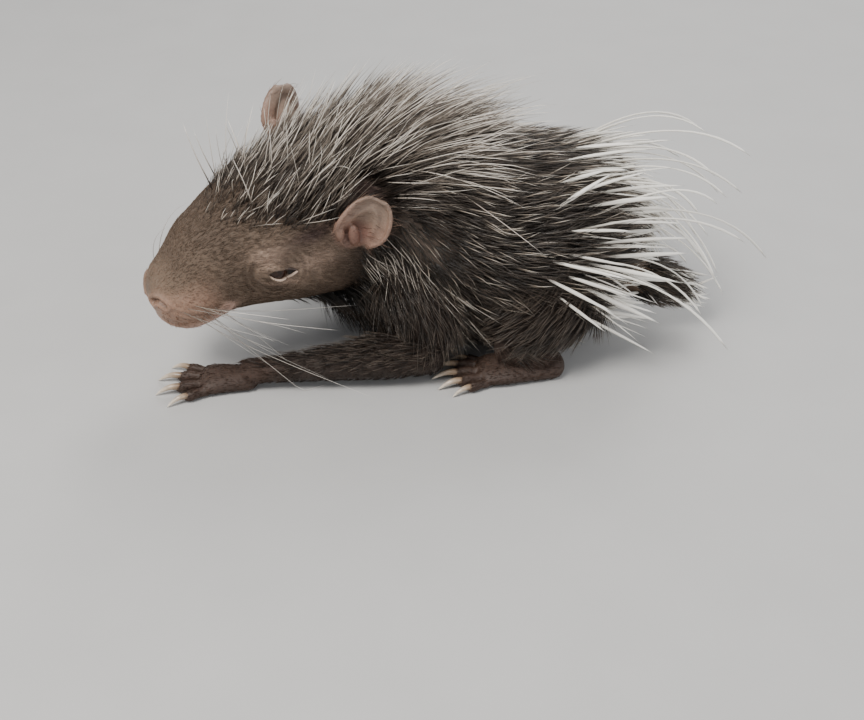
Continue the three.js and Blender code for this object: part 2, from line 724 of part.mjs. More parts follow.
// The pad of a foot from the wrist or heel, and its toes fanned about the heading.
function footSolids(start, heading, shape, toes, side, grow = 0) {
  const { behind, length, wide, deep, toeRoots } = shape;
  const row = (far, width, height) => {
    const { x, y } = start.clone().addScaledVector(heading, far);
    const size = height + grow;
    return { x, y, z: height - floorSink, side: width + grow, rise: size, drop: size };
  };
  const rows = [
    row(-behind, wide * 0.62, deep),
    row(length * 0.35, wide * 0.85, deep * 1.02),
    row(length * 0.75, wide, deep * 0.92),
    row(length, wide * 0.9, deep * 0.75),
  ];
  const pad = new Limb(rows, { startRound: 5, endRound: 5 }).solid(8, 2, 1, 1);
  const leftOf = vector(heading.y, -heading.x, 0);
  const toeSets = toes.flatMap((toe) => {
    const way = heading.clone().applyAxisAngle(skyward, toe.spread * side * degree);
    const root = start.clone().addScaledVector(heading, toeRoots);
    root.addScaledVector(leftOf, -toe.across * side);
    return toeSolids(root, way, toe);
  });
  return union([pad, ...toeSets]);
}

function foreleg(rows, side) {
  const [before, wrist] = rows.lower.slice(-2).map(({ x, y }) => vector(x, y, 0));
  const heading = wrist.clone().sub(before).normalize();
  const cut = heading.dot(wrist) - wristCut;
  const leg = legSolid(rows).subtract(trunkGrown);
  const paw = aboveFloor(footSolids(wrist, heading, foreFoot, foreToes, side));
  const back = heading.clone().negate();
  return {
    leg: wholeOf(leg.trimByPlane(back.toArray(), -cut + gap / 2)),
    foot: wholeOf(paw.trimByPlane(heading.toArray(), cut + gap / 2)),
  };
}

function hindleg(rows, side) {
  const start = vector(heel.x, heel.y * side, 0);
  const heading = vector(-1, -0.1 * side, 0).normalize();
  const bareFoot = aboveFloor(footSolids(start, heading, hindFoot, hindToes, side));
  const foot = bareFoot.subtract(trunkGrown);
  const roomyFoot = footSolids(start, heading, hindFoot, [], side, gap);
  const placed = side > 0 ? rows : { upper: mirrored(rows.upper), lower: mirrored(rows.lower) };
  const leg = legSolid(placed).subtract(trunkGrown).subtract(roomyFoot);
  return { leg: wholeOf(leg), foot: wholeOf(foot) };
}

// Assembly

const solids = {};
for (const [name, side] of Object.entries({ left: 1, right: -1 })) {
  const fore = foreleg(foreRows[name], side);
  const hind = hindleg(hindRows, side);
  solids[`foreleg_${name}`] = fore.leg;
  solids[`forepaw_${name}`] = fore.foot;
  solids[`hindleg_${name}`] = hind.leg;
  solids[`hindfoot_${name}`] = hind.foot;
  solids[`eye_${name}`] = ball(side, eyeSize.radius);
  solids[`ear_${name}`] = ear(side);
}

// The bare cores of the trunk's four sub-parts.
const mounds = [1, -1].map(lidMound);
const hollows = [...[1, -1].flatMap((side) => [eyeOpening(side), nostril(side)]), mouthGroove()];
const bareHead = union([sliceOf(trunkBody, null, neckStart), ...mounds]).subtract(union(hollows));
const headCore = union([bareHead, ...[1, -1].map(eyelids)]);
const neckCore = sliceOf(trunkBody, neckStart, neckEnd);
const torsoCore = sliceOf(trunkBody, neckEnd, null);
const tail = new Limb(tailRows, { startRound: 6, endRound: 6 });
const tailCore = wholeOf(tail.solid(10, 2, 3, 3).subtract(trunkGrown));

// The coat from back to front, so that each field lies over the one behind it.
const limbs = Object.values(solids);
solids.tail = coated(tailCore, tail, tailCoat, 11, [torsoCore, ...limbs]);
solids.torso = coated(torsoCore, trunk, torsoCoat, 23, [neckCore, solids.tail, ...limbs]);
solids.neck = coated(neckCore, trunk, neckCoat, 37, [headCore, solids.torso, ...limbs]);
solids.head = coated(headCore, trunk, headCoat, 41, [solids.neck, solids.torso, ...limbs]);

const paint = (color, roughness) => new THREE.MeshStandardMaterial({ color, roughness, metalness: 0 });
const face = paint(0x6a5849, 0.85);
const maneGrey = paint(0x8d8378, 0.6);
const coatDark = paint(0x2d2420, 0.6);
const earSkin = paint(0x8a6a5c, 0.7);
const eyeDark = paint(0x120c0a, 0.15);
const footBrown = paint(0x3a281c, 0.75);
const paints = {
  head: face,
  neck: maneGrey,
  torso: coatDark,
  tail: coatDark,
  ear: earSkin,
  eye: eyeDark,
  foreleg: footBrown,
  forepaw: footBrown,
  hindleg: footBrown,
  hindfoot: footBrown,
};

const porcupine = new THREE.Group();
for (const [name, solid] of Object.entries(solids)) {
  const geometry = geometryOf(solid).translate(-restPlace.x, -restPlace.y, 0);
  const mesh = new THREE.Mesh(geometry, paints[name.split("_")[0]]);
  mesh.name = name;
  porcupine.add(mesh);
}

export default porcupine;
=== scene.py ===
import math

import bpy
import numpy as np
from mathutils import Matrix, Vector
from mathutils.kdtree import KDTree


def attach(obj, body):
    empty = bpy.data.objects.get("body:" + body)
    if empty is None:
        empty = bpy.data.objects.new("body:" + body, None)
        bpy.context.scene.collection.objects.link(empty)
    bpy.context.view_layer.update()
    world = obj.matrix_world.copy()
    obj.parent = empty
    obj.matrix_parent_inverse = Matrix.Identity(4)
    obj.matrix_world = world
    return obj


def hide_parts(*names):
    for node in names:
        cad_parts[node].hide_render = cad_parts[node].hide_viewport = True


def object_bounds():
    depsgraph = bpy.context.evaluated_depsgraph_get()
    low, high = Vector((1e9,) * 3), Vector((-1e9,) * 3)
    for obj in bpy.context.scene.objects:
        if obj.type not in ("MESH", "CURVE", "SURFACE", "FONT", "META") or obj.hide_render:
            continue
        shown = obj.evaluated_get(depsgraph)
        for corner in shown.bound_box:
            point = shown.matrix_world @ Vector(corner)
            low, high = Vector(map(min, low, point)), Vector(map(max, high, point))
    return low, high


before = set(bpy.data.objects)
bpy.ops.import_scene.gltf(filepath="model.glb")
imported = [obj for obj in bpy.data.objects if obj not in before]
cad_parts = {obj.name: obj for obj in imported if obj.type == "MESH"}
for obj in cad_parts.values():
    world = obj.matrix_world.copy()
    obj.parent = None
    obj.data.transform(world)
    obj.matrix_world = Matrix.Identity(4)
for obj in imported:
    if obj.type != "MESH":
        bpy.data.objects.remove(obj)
cad_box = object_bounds()

# A young porcupine at life size. Shapes are worked out in millimetres and written in metres.
MM = 0.001
REST = np.array([38.0, 0.0, 0.0])  # the spot under the belly that is the origin
SKY = np.array([0.0, 0.0, 1.0])
SIDES = {"left": 1, "right": -1}
random = np.random.default_rng(20)

NOSE = np.array([-107.0, -45.4, 44.0])
TURN, NOD, LEAN = 28.0, 10.0, 8.0
EYE = {"radius": 5.2, "behind": 45.0, "aside": 22.0, "above": 5.5}
EYE_SHIFT = 1.2  # how far the middle of the opening lies behind the middle of the eye
EYE_HALF = 6.0  # half the length of the opening
SHORT_FUR = 0.7  # how far the skin lies under the short fur of the face

# The camera stands before the animal's left side and looks down at it.
CAMERA = (-0.038, -0.4683, 0.3097)
CAMERA_TARGET = (-0.038, -0.026, 0.0)
CAMERA_VIEW = 35.49

HEAD_ROWS = [  # behind the nose, above the head's axis, half width, height above and below the middle
    (1.5, -1.5, 13.8, 11.2, 15.7), (14, -2.9, 15.5, 15.2, 18.5), (28, -0.4, 21, 22.3, 18.3),
    (48, 2.5, 26.5, 28, 26.5), (64, 3.5, 27.5, 28.5, 31), (78, 3, 28.5, 28.5, 36.5),
]
BODY_ROWS = [  # place, half width, height above and below the middle, lean
    (-22, -4, 61, 30, 29.5, 40, 3), (-5, -0.6, 54.5, 33, 33.5, 43, 1),
    (13, 0, 47, 36, 36.5, 44.5, 0), (31, 0, 42, 38.5, 38, 43.2, 0),
    (49, 0, 39.5, 38, 37, 40.7, 0), (63, 0, 37, 34.5, 34, 34.5, 0), (76, 0, 34, 30, 30, 28.5, 0),
]
HEAD_FORMS = [  # behind, angle, along, around, height
    (12, 84, 9, 30, 1.8), (14, 165, 7, 30, 1.2), (30, 92, 8, 28, -1.4),
    (46, 58, 10, 15, 1.6), (60, 112, 13, 26, 2.4),
]
HEAD_CUT = (92.0, 108.0)  # the stations between which the head and the body of the skin overlap
TAIL_ROWS = [(72, 0, 27, 9.5, 9.5, 9.5), (84, 0, 24, 9, 9, 9), (94, 0, 20.5, 7, 7, 7),
             (102, 0, 17.5, 4.8, 4.8, 4.8)]
FORE_ROWS = {
    "left": {
        "upper": [(-12, -20, 44, 11, 15, 15), (-3, -30, 28, 11, 13.5, 13), (-1, -36, 14, 9, 10, 10)],
        "lower": [(5, -37, 12.5, 8, 8.5, 8.5), (-14, -40, 11.5, 8.2, 8.5, 8.5),
                  (-38, -42, 9.5, 6.6, 6.5, 6.5), (-61, -43, 7.5, 5.4, 5, 5),
                  (-75, -43.5, 6.5, 6, 4.6, 4.6)],
    },
    "right": {
        "upper": [(-8, 20, 44, 11, 15, 15), (1, 29, 28, 11, 13.5, 13), (3, 34, 14, 9, 10, 10)],
        "lower": [(9, 35, 12.5, 8, 8.5, 8.5), (-6, 35.5, 11.5, 7.6, 8, 8),
                  (-20, 35.5, 9, 6, 6, 6), (-32, 35, 6.5, 6, 4.6, 4.6)],
    },
}
HIND_ROWS = {  # of the left side
    "upper": [(58, -20, 38, 14, 18, 18), (43, -30, 28, 13.5, 16, 17), (28, -34.5, 19, 10, 10.5, 11)],
    "lower": [(25, -34.5, 16, 8.5, 9, 9), (37, -34.5, 11.5, 8, 8, 8), (48, -34.5, 8.5, 6.8, 6.8, 6.8)],
}
HEEL = (50.0, -34.5)
WRISTS = {"fore_left": -60, "fore_right": -22}  # where the dark of the forelegs ends
FORE_FOOT = {"behind": 8, "length": 15, "wide": 8.6, "deep": 4.8, "roots": 12}
HIND_FOOT = {"behind": 2, "length": 33, "wide": 9.4, "deep": 5, "roots": 30}
FORE_TOES = [  # spread, across, length, thick, claw
    (26, 6.4, 9, 2.5, 7), (9, 2.4, 12, 2.8, 8), (-6, -2, 12, 2.8, 8), (-22, -6, 10, 2.5, 7),
]
HIND_TOES = [
    (20, 7.6, 8, 2.4, 6.5), (10, 4, 11, 2.7, 8), (0, 0.2, 12, 2.8, 8.5),
    (-10, -3.8, 11, 2.7, 8), (-24, -7.2, 7, 2.3, 6),
]
TUBE_SIDES = 10  # of claws and lid rims
FINE, COARSE = 0.5, 1.0  # the voxels of head and legs, and of the body
FLOOR_SINK = 1.2  # how far feet are sunk before their soles are flattened
SOLE = 0.6  # skin lower than this is pressed flat
LOWEST = 0.02  # the room between skin and floor
EARS = {
    "left": {"root": (72.8, 29.3, 8.4), "rise": (0.6, 0.15, 0.78), "face": (-0.35, 0.93, 0.1)},
    "right": {"root": (75.1, 25.7, 19.9), "rise": (0.25, 0.45, 0.86), "face": (-0.45, 0.85, -0.28)},
}
EAR_KNOBS = [  # knobs, lobe and floor of the ear's cup: behind, out and above its low place, and size
    (-1.6, 2.4, 0.2, (2.2, 1.7, 4.8)), (0.2, 1.0, -4.6, (3.0, 1.9, 2.4)),
    (3.6, 0.2, -2.4, (2.4, 1.8, 3.6)), (-6.2, 0.5, 2.6, (1.8, 2.2, 4.6)),
]
EAR = {"length": 24.5, "sunk": 3, "width": 20.5, "root": 0.6, "thick": 1.1, "cup": 4, "bend": 8,
       "bend_end": 0.36}


# Small maths

def unit(v):
    return v / np.maximum(np.linalg.norm(v, axis=-1, keepdims=True), 1e-9)


def mix(a, b, t):
    return a + (b - a) * t


def ramp(x, low, high):
    """0 below a range and 1 above it, with a smooth rise between."""
    t = np.clip((x - low) / (high - low), 0, 1)
    return t * t * (3 - 2 * t)


def fall(x, low, high):
    """1 below a range and 0 above it."""
    return 1 - ramp(x, low, high)


def bell(*shares):
    """1 in the middle of a hump, where all shares are 0, and less to every side."""
    return np.exp(-sum(share ** 2 for share in shares))


def distance(points, place):
    return np.linalg.norm(points - place, axis=1)


def tree_of(points):
    tree = KDTree(len(points))
    for i, point in enumerate(points):
        tree.insert(point, i)
    tree.balance()
    return tree


def only(found, kept):
    """Some rows of each measure."""
    return {key: value[kept] for key, value in found.items()}


def grid(rows, columns):
    """Row and column of each cell."""
    return [m.ravel() for m in np.meshgrid(np.arange(rows), np.arange(columns), indexing="ij")]


def spun(axis, degrees):
    return np.array(Matrix.Rotation(math.radians(degrees), 3, axis))


HEAD_SPIN = spun("Z", TURN) @ spun("Y", -NOD) @ spun("X", LEAN)


def head_way(way, side=1):
    return HEAD_SPIN @ np.array([way[0], -way[1] * side, way[2]], float)


def head_place(place, side=1):
    return head_way(place, side) + NOSE


def head_measures(points):
    """Behind the nose, to its left and above the head's axis, for points."""
    local = (points - NOSE) @ HEAD_SPIN
    return local[:, 0], -local[:, 1], local[:, 2]


def eye_place(side, back=0, out=0, up=0):
    return head_place((EYE["behind"] + back, EYE["aside"] + out, EYE["above"] + up), side)


def eye_measures(points, side):
    """Places of points from an eye's middle: back, out and up in the head's measures."""
    behind, left, above = head_measures(points)
    return behind - EYE["behind"], left * side - EYE["aside"], above - EYE["above"]


def noise(points, scale, seed=0):
    """Smooth repeatable noise from -1 to 1: a few waves that cross."""
    draw = np.random.default_rng(seed)
    total = np.zeros(len(points))
    for i in range(7):
        way = unit(draw.normal(size=3)) * draw.uniform(0.7, 1.5) / scale
        total += np.sin(points @ way + draw.uniform(0, 6.28))
    return total / 3.2


def to_line(points, line):
    """Distance of points to a line of points, and the share of the way along it."""
    best, share = np.full(len(points), 1e9), np.zeros(len(points))
    for i in range(len(line) - 1):
        a, b = line[i], line[i + 1]
        t = np.clip((points - a) @ (b - a) / max((b - a) @ (b - a), 1e-9), 0, 1)
        away = np.linalg.norm(points - a - t[:, None] * (b - a), axis=1)
        near = away < best
        best[near], share[near] = away[near], (i + t[near]) / (len(line) - 1)
    return best, share


def shell(start, rings, end):
    """Points and triangles of a closed body. Its rings run against the clock, seen from its start."""
    count, sides = rings.shape[:2]
    i, j = grid(count - 1, sides)
    a, b = 1 + i * sides + j, 1 + i * sides + (j + 1) % sides
    j = np.arange(sides)
    k, top = (j + 1) % sides, 1 + (count - 1) * sides
    faces = [(0 * j, 1 + j, 1 + k), (a, b + sides, b), (a, a + sides, b + sides),
             (0 * j + 1 + count * sides, top + k, top + j)]
    points = np.concatenate([[start], rings.reshape(-1, 3), [end]])
    return points, np.concatenate([np.stack(corners, -1) for corners in faces])


class Limb:
    """A smooth tube of elliptical sections with rounded ends."""

    def __init__(self, rows, start_round, end_round, sideways=None, forms=()):
        self.columns = dict(zip(("x", "y", "z", "side", "rise", "drop", "tilt"), np.array(rows, float).T))
        self.start_round, self.end_round = start_round, end_round
        self.sideways, self.forms = sideways, forms
        middle = np.stack([self.columns[k] for k in "xyz"], 1)
        steps = np.linalg.norm(np.diff(middle, axis=0), axis=1)
        self.stations = np.concatenate([[0], np.cumsum(steps)])
        self.length = self.stations[-1]
        self.grid = np.linspace(0, self.length, 160)

    def value(self, name, at):
        """A measure at stations, by a smooth curve through the rows."""
        if name not in self.columns:
            return np.zeros_like(at)
        s, v = self.stations, self.columns[name]
        last = len(s) - 1
        i = np.clip(np.searchsorted(s, at, side="right") - 1, 0, last - 1)
        low, high = np.maximum(np.arange(last + 1) - 1, 0), np.minimum(np.arange(last + 1) + 1, last)
        slope = (v[high] - v[low]) / (s[high] - s[low])
        span = s[i + 1] - s[i]
        t = (at - s[i]) / span
        t2, t3 = t * t, t * t * t
        return (v[i] * (2 * t3 - 3 * t2 + 1) + slope[i] * span * (t3 - 2 * t2 + t)
                + v[i + 1] * (3 * t2 - 2 * t3) + slope[i + 1] * span * (t3 - t2))

    def centre(self, at):
        return np.stack([self.value(k, at) for k in "xyz"], -1)

    def frame(self, at):
        at = np.asarray(at, float)
        along = unit(self.centre(np.minimum(self.length, at + 2)) - self.centre(np.maximum(0, at - 2)))
        level = np.cross(along, SKY) if self.sideways is None else np.broadcast_to(self.sideways, along.shape)
        left = unit(level - along * np.sum(level * along, -1, keepdims=True))
        lean = np.radians(self.value("tilt", at))[..., None]
        left = left * np.cos(lean) + np.cross(along, left) * np.sin(lean)
        return {"centre": self.centre(at), "along": along, "left": left, "up": np.cross(left, along)}

    def fullness(self, at):
        def part(distance, reach):
            t = np.clip(1 - np.maximum(0, distance) / reach, 0, 1)
            return np.power(1 - np.power(t, 2.2), 1 / 2.2)
        return part(at, self.start_round) * part(self.length - at, self.end_round)

    def swelling(self, at, angle):
        total = np.zeros(np.broadcast(at, angle).shape)
        for behind, middle, along, wide, height in self.forms:
            total = total + height * bell((at - behind) / along, (np.abs(angle) - middle) / wide)
        return total

    def surface(self, at, angle, grow=0.0):
        at, angle = np.broadcast_arrays(np.asarray(at, float), np.asarray(angle, float))
        f = self.frame(at)
        full = self.fullness(at)
        more = (self.swelling(at, angle) + grow) * full
        a = np.radians(angle)
        height = np.where(np.cos(a) > 0, self.value("rise", at), self.value("drop", at)) * full + more
        width = self.value("side", at) * full + more
        return (f["centre"] + f["left"] * (width * np.sin(a))[..., None]
                + f["up"] * (height * np.cos(a))[..., None])

    def normal(self, at, angle):
        ahead = self.surface(np.minimum(self.length - 0.1, at + 1.5), angle)
        behind = self.surface(np.maximum(0.1, at - 1.5), angle)
        around = self.surface(at, angle + 3) - self.surface(at, angle - 3)
        return unit(np.cross(around, ahead - behind))

    def locate(self, points):
        """Station and angle of points, with the limb's direction there."""
        station, angle = np.zeros(len(points)), np.zeros(len(points))
        along = np.zeros_like(points)
        batch = 20000
        for i in range(0, len(points), batch):
            p = points[i:i + batch]
            away = ((p[:, None, :] - self.centre(self.grid)[None]) ** 2).sum(-1)
            near = self.grid[away.argmin(1)]
            f = self.frame(near)
            s = np.clip(near + np.sum((p - f["centre"]) * f["along"], -1), 0, self.length)
            f = self.frame(s)
            d = p - f["centre"]
            x = np.sum(d * f["left"], -1) / np.maximum(self.value("side", s), 1)
            z = np.sum(d * f["up"], -1)
            z = z / np.maximum(np.where(z > 0, self.value("rise", s), self.value("drop", s)), 1)
            station[i:i + batch], angle[i:i + batch] = s, np.degrees(np.arctan2(x, z))
            along[i:i + batch] = f["along"]
        return station, angle, along

    def loft(self, sides, step, grow=0.0, start=None, end=None, plug=0.0):
        """Points and triangles of a closed tube. With a start or end it is cut there and slimmed."""
        low = 0.0 if start is None else start
        high = self.length if end is None else end
        at = np.linspace(low, high, max(6, int((high - low) / step)))
        dome = 1 - np.cos(np.radians(np.linspace(8, 80, 9)))
        if start is None:
            at = np.concatenate([self.start_round * dome, at[at > self.start_round]])
        if end is None:
            tip = self.length - self.end_round * dome[::-1]
            at = np.concatenate([at[at < self.length - self.end_round], tip])
        slim = np.full(len(at), grow, float)
        if start is not None:
            slim -= plug * fall(at, low, low + 7)
        if end is not None:
            slim -= plug * ramp(at, high - 7, high)
        angle = np.arange(sides) * 360 / sides
        angle = np.where(angle > 180, angle - 360, angle)
        rings = self.surface(at[:, None], angle[None, :], slim[:, None])
        first, last = self.centre(np.array([low, high], float))
        points, faces = shell(first, rings, last)
        return points, faces[:, [0, 2, 1]]  # the rings of a limb turn the other way


trunk = Limb([(*head_place((behind, 0, above)), side, rise, drop, LEAN)
              for behind, above, side, rise, drop in HEAD_ROWS] + BODY_ROWS, 15, 27, forms=HEAD_FORMS)


# Meshes

def joined(*parts):
    points, faces, start = [], [], 0
    for p, f in parts:
        points.append(p)
        faces.append(f + start)
        start += len(p)
    return np.concatenate(points), np.concatenate(faces)


def new_mesh(name, points, faces):
    """A mesh in metres from points in millimetres and faces that all have the same corners."""
    mesh = bpy.data.meshes.new(name)
    mesh.vertices.add(len(points))
    mesh.vertices.foreach_set("co", ((points - REST) * MM).astype(np.float32).ravel())
    mesh.loops.add(faces.size)
    mesh.loops.foreach_set("vertex_index", faces.astype(np.int32).ravel())
    mesh.polygons.add(len(faces))
    mesh.polygons.foreach_set("loop_start", np.arange(0, faces.size, faces.shape[1], dtype=np.int32))
    mesh.update(calc_edges=True)
    return mesh


def placed(name, data):
    obj = bpy.data.objects.new(name, data)
    bpy.context.scene.collection.objects.link(obj)
    return obj


def new_object(name, points, faces, material):
    mesh = new_mesh(name, points, faces)
    mesh.materials.append(material)
    mesh.polygons.foreach_set("use_smooth", np.full(len(faces), True))
    obj = placed(name, mesh)
    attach(obj, "root")
    return obj


def point_values(obj, name, values):
    """Stores a number, or a colour where values has three columns, for each point."""
    if np.ndim(values) == 1:
        layer = obj.data.attributes.new(name, "FLOAT", "POINT")
        layer.data.foreach_set("value", values.astype(np.float32))
    else:
        layer = obj.data.attributes.new(name, "FLOAT_COLOR", "POINT")
        full = np.concatenate([values, np.ones((len(values), 1))], 1)
        layer.data.foreach_set("color", full.astype(np.float32).ravel())


def voxels(parts, size):
    """One even surface of quads round closed parts that may cross."""
    mesh = new_mesh("voxels", *joined(*parts))
    obj = placed("voxels", mesh)
    change = obj.modifiers.new("voxels", "REMESH")
    change.mode = "VOXEL"
    change.voxel_size = size * MM
    result = obj.evaluated_get(bpy.context.evaluated_depsgraph_get())
    even = result.to_mesh()
    points = np.empty(len(even.vertices) * 3, np.float32)
    even.vertices.foreach_get("co", points)
    corners = np.empty(len(even.loops), np.int32)
    even.loops.foreach_get("vertex_index", corners)
    result.to_mesh_clear()
    bpy.data.objects.remove(obj)
    bpy.data.meshes.remove(mesh)
    return points.reshape(-1, 3).astype(float) / MM + REST, corners.reshape(-1, 4).astype(int)


def smoothed(points, quads, rounds=3):
    """Relaxes a surface in steps that pull in and push out, so that it hardly shrinks."""
    pairs = np.concatenate([quads[:, [i, (i + 1) % 4]] for i in range(4)])
    a, b = np.unique(np.sort(pairs, 1), axis=0).T
    size = len(points)
    count = np.bincount(np.concatenate([a, b]), minlength=size).clip(1)
    for push in (0.5, -0.515) * rounds:
        total = np.stack([np.bincount(a, points[b, k], size) + np.bincount(b, points[a, k], size)
                          for k in range(3)], 1)
        points = points + (total / count[:, None] - points) * push
    return points


def normals_of(points, quads):
    across = np.cross(points[quads[:, 2]] - points[quads[:, 0]], points[quads[:, 3]] - points[quads[:, 1]])
    total = np.zeros_like(points)
    for k in range(3):
        for corner in range(4):
            total[:, k] += np.bincount(quads[:, corner], across[:, k], len(points))
    return unit(total)


def ellipsoid(centre, radii, sides=40, rings=24):
    """An ellipsoid that lies along the head."""
    a = np.arange(sides) * 2 * np.pi / sides
    b = np.pi * (np.arange(1, rings) / rings)[:, None]
    ring = np.stack([np.sin(b) * np.cos(a), np.sin(b) * np.sin(a), np.cos(b) * np.ones(sides)], -1)
    points, faces = shell((0, 0, 1), ring, (0, 0, -1))
    return points * np.array(radii) @ HEAD_SPIN.T + centre, faces


def tube(line, widths):
    """A round tube along a line of points."""
    heading = unit(np.gradient(line, axis=0))
    up = unit(np.cross(heading, np.cross(SKY + 0.01, heading)))
    side = np.cross(up, heading)
    a = np.arange(TUBE_SIDES) * 2 * np.pi / TUBE_SIDES
    rings = (line[:, None] + widths[:, None, None] * (up[:, None] * np.cos(a)[None, :, None]
                                                      + side[:, None] * np.sin(a)[None, :, None]))
    return shell(line[0], rings, line[-1])


# Ears

def ear_sheet(name, side):
    """The middle surface of an ear, as a function of place across and up it."""
    pose = EARS[name]
    root = head_place(pose["root"], side)
    rise = unit(head_way(pose["rise"], side))
    face = head_way(pose["face"], side)
    face = unit(face - rise * (face @ rise))
    across = np.cross(rise, face)

    def sheet(u, v):
        outline = np.sqrt(np.maximum(0, 1 - np.power(np.maximum(0, v - 0.3) / 0.71, 3)))
        flare = mix(EAR["root"], 1, np.sin(np.minimum(1, v * 1.7) * np.pi / 2))
        x = u * (EAR["width"] / 2) * flare * outline
        bow = EAR["cup"] * (1 - 0.4 * v * v) * (u * u * outline * outline - 0.5)
        rim = np.maximum(np.abs(u) ** 3, np.power(np.clip(v, 0, 1), 6))
        roll = 1.3 * ramp(rim, 0.62, 1.0) * ramp(v, 0.25, 0.5)
        fold = bell((np.hypot(u * 1.1, (v - 0.42) * 1.5) - 0.56) / 0.13) * ramp(v, 0.3, 0.5)
        hollow = 1.6 * bell((u + 0.05) / 0.4, (v - 0.4) / 0.2)
        x = x - np.sign(u) * 0.8 * ramp(rim, 0.8, 1.0)
        bend = EAR["bend"] * np.maximum(0, 1 - v / EAR["bend_end"]) ** 2
        return (root + rise * (v * EAR["length"] - EAR["sunk"])[..., None] + across * x[..., None]
                + face * (bow + roll + fold - hollow - bend)[..., None])
    return sheet


ear_sheets = {side: ear_sheet(name, side) for name, side in SIDES.items()}
ear_places = {side: [sheet(np.array(0.0), np.array(v)) for v in (0.3, 0.55, 0.8)]
              for side, sheet in ear_sheets.items()}  # low, middle and high on each ear


def ear_parts(side):
    """The flap of an ear, a closed sheet that is thicker at its rim, and its knobs."""
    sheet = ear_sheets[side]
    columns, ranks = 44, 40
    v, u = np.meshgrid(np.minimum(0.985, (np.arange(ranks + 1) / ranks) ** 0.85),
                       np.linspace(-1, 1, columns + 1), indexing="ij")
    wide = sheet(np.minimum(1, u + 0.02), v) - sheet(np.maximum(-1, u - 0.02), v)
    high = sheet(u, np.minimum(0.985, v + 0.01)) - sheet(u, v - 0.01)
    out = unit(np.cross(high, wide))
    middle = sheet(u, v)
    rim = np.maximum(np.abs(u) ** 4, np.power(v, 6))
    half = (EAR["thick"] / 2 + 0.25 * ramp(rim, 0.6, 0.9))[..., None]
    points = np.concatenate([(middle - out * half).reshape(-1, 3), (middle + out * half).reshape(-1, 3)])
    row, back = columns + 1, (columns + 1) * (ranks + 1)
    r, c = grid(ranks, columns)
    a = r * row + c
    b, d, e = a + 1, a + row, a + row + 1
    loop = np.array([*range(columns), *(r * row + columns for r in range(ranks)),
                     *(ranks * row + c for c in range(columns, 0, -1)),
                     *(r * row for r in range(ranks, 0, -1))])
    ahead = np.roll(loop, -1)
    faces = [(a, b, e), (a, e, d), (a + back, e + back, b + back), (a + back, d + back, e + back),
             (ahead, loop, loop + back), (ahead, loop + back, ahead + back)]
    flap = points, np.concatenate([np.stack(corners, -1) for corners in faces])
    low = ear_places[side][0]
    return [flap, *(ellipsoid(low + head_way(place, side), size, 24, 14) for *place, size in EAR_KNOBS)]


# Legs and feet

def limb(rows, start_round, end_round):
    return Limb(rows, start_round, end_round, sideways=(0, -1, 0))


def foot(start, heading, shape, toes, side):
    """The limbs of a foot and the middle lines of its claws."""
    length, wide, deep = shape["length"], shape["wide"], shape["deep"]
    pad = []
    for far, width, height in (
            (-shape["behind"], wide * 0.62, deep), (length * 0.35, wide * 0.85, deep * 1.02),
            (length * 0.75, wide, deep * 0.92), (length, wide * 0.9, deep * 0.75)):
        pad.append((*(start + heading * far), height - FLOOR_SINK, width, height, height))
    left_of = np.array([heading[1], -heading[0]])
    limbs, claws = [limb(pad, 5, 5)], []
    for spread, across, long, thick, claw in toes:
        turn = math.radians(spread * side)
        way = np.array([heading[0] * math.cos(turn) - heading[1] * math.sin(turn),
                        heading[0] * math.sin(turn) + heading[1] * math.cos(turn)])
        root = start + heading * shape["roots"] - left_of * across * side
        toe = []
        for far, high, size in (
                (-2, 0.9, 1), (long * 0.3, 1.02, 0.9), (long * 0.62, 1, 1), (long, 0.72, 0.82)):
            toe.append((*(root + way * far), thick * high, thick * size * 0.86, thick * size, thick * size))
        limbs.append(limb(toe, thick, thick))
        t = np.linspace(0, 1, 9)
        far = mix(long - 2.4, long + claw, t)
        high = thick * (0.95 + 0.42 * np.sin(t * 2.2)) * (1 - t ** 2.2) + 0.3
        claws.append((np.column_stack([root + way * far[:, None], high]), thick * 0.52))
    return limbs, claws


legs = {}
claw_lines = []
for name, side in SIDES.items():
    hind = {key: [(x, y * side, *rest) for x, y, *rest in rows] for key, rows in HIND_ROWS.items()}
    before, wrist = [np.array(row[:2], float) for row in FORE_ROWS[name]["lower"][-2:]]
    heel = np.array([HEEL[0], HEEL[1] * side])
    for end, rows, start, heading, shape, toes in (
            ("fore", FORE_ROWS[name], wrist, wrist - before, FORE_FOOT, FORE_TOES),
            ("hind", hind, heel, np.array([-1, -0.1 * side]), HIND_FOOT, HIND_TOES)):
        limbs, claws = foot(start, unit(heading), shape, toes, side)
        legs[f"{end}_{name}"] = [limb(rows["upper"], 8, 7), limb(rows["lower"], 7, 6), *limbs]
        claw_lines += claws
tail = limb(TAIL_ROWS, 6, 6)


# Skin

def lid_edges(x):
    """Heights of the edges of the eye's opening at a place along it."""
    t = np.clip(np.abs(x - EYE_SHIFT) / EYE_HALF, 0, 1)
    behind = x > EYE_SHIFT
    upper = 2.6 - 1.9 * t ** np.where(behind, 2.0, 3.2) - 0.3 * x
    lower = -2.5 + 3.2 * t ** np.where(behind, 1.7, 2.3) - 0.3 * x
    return upper, lower


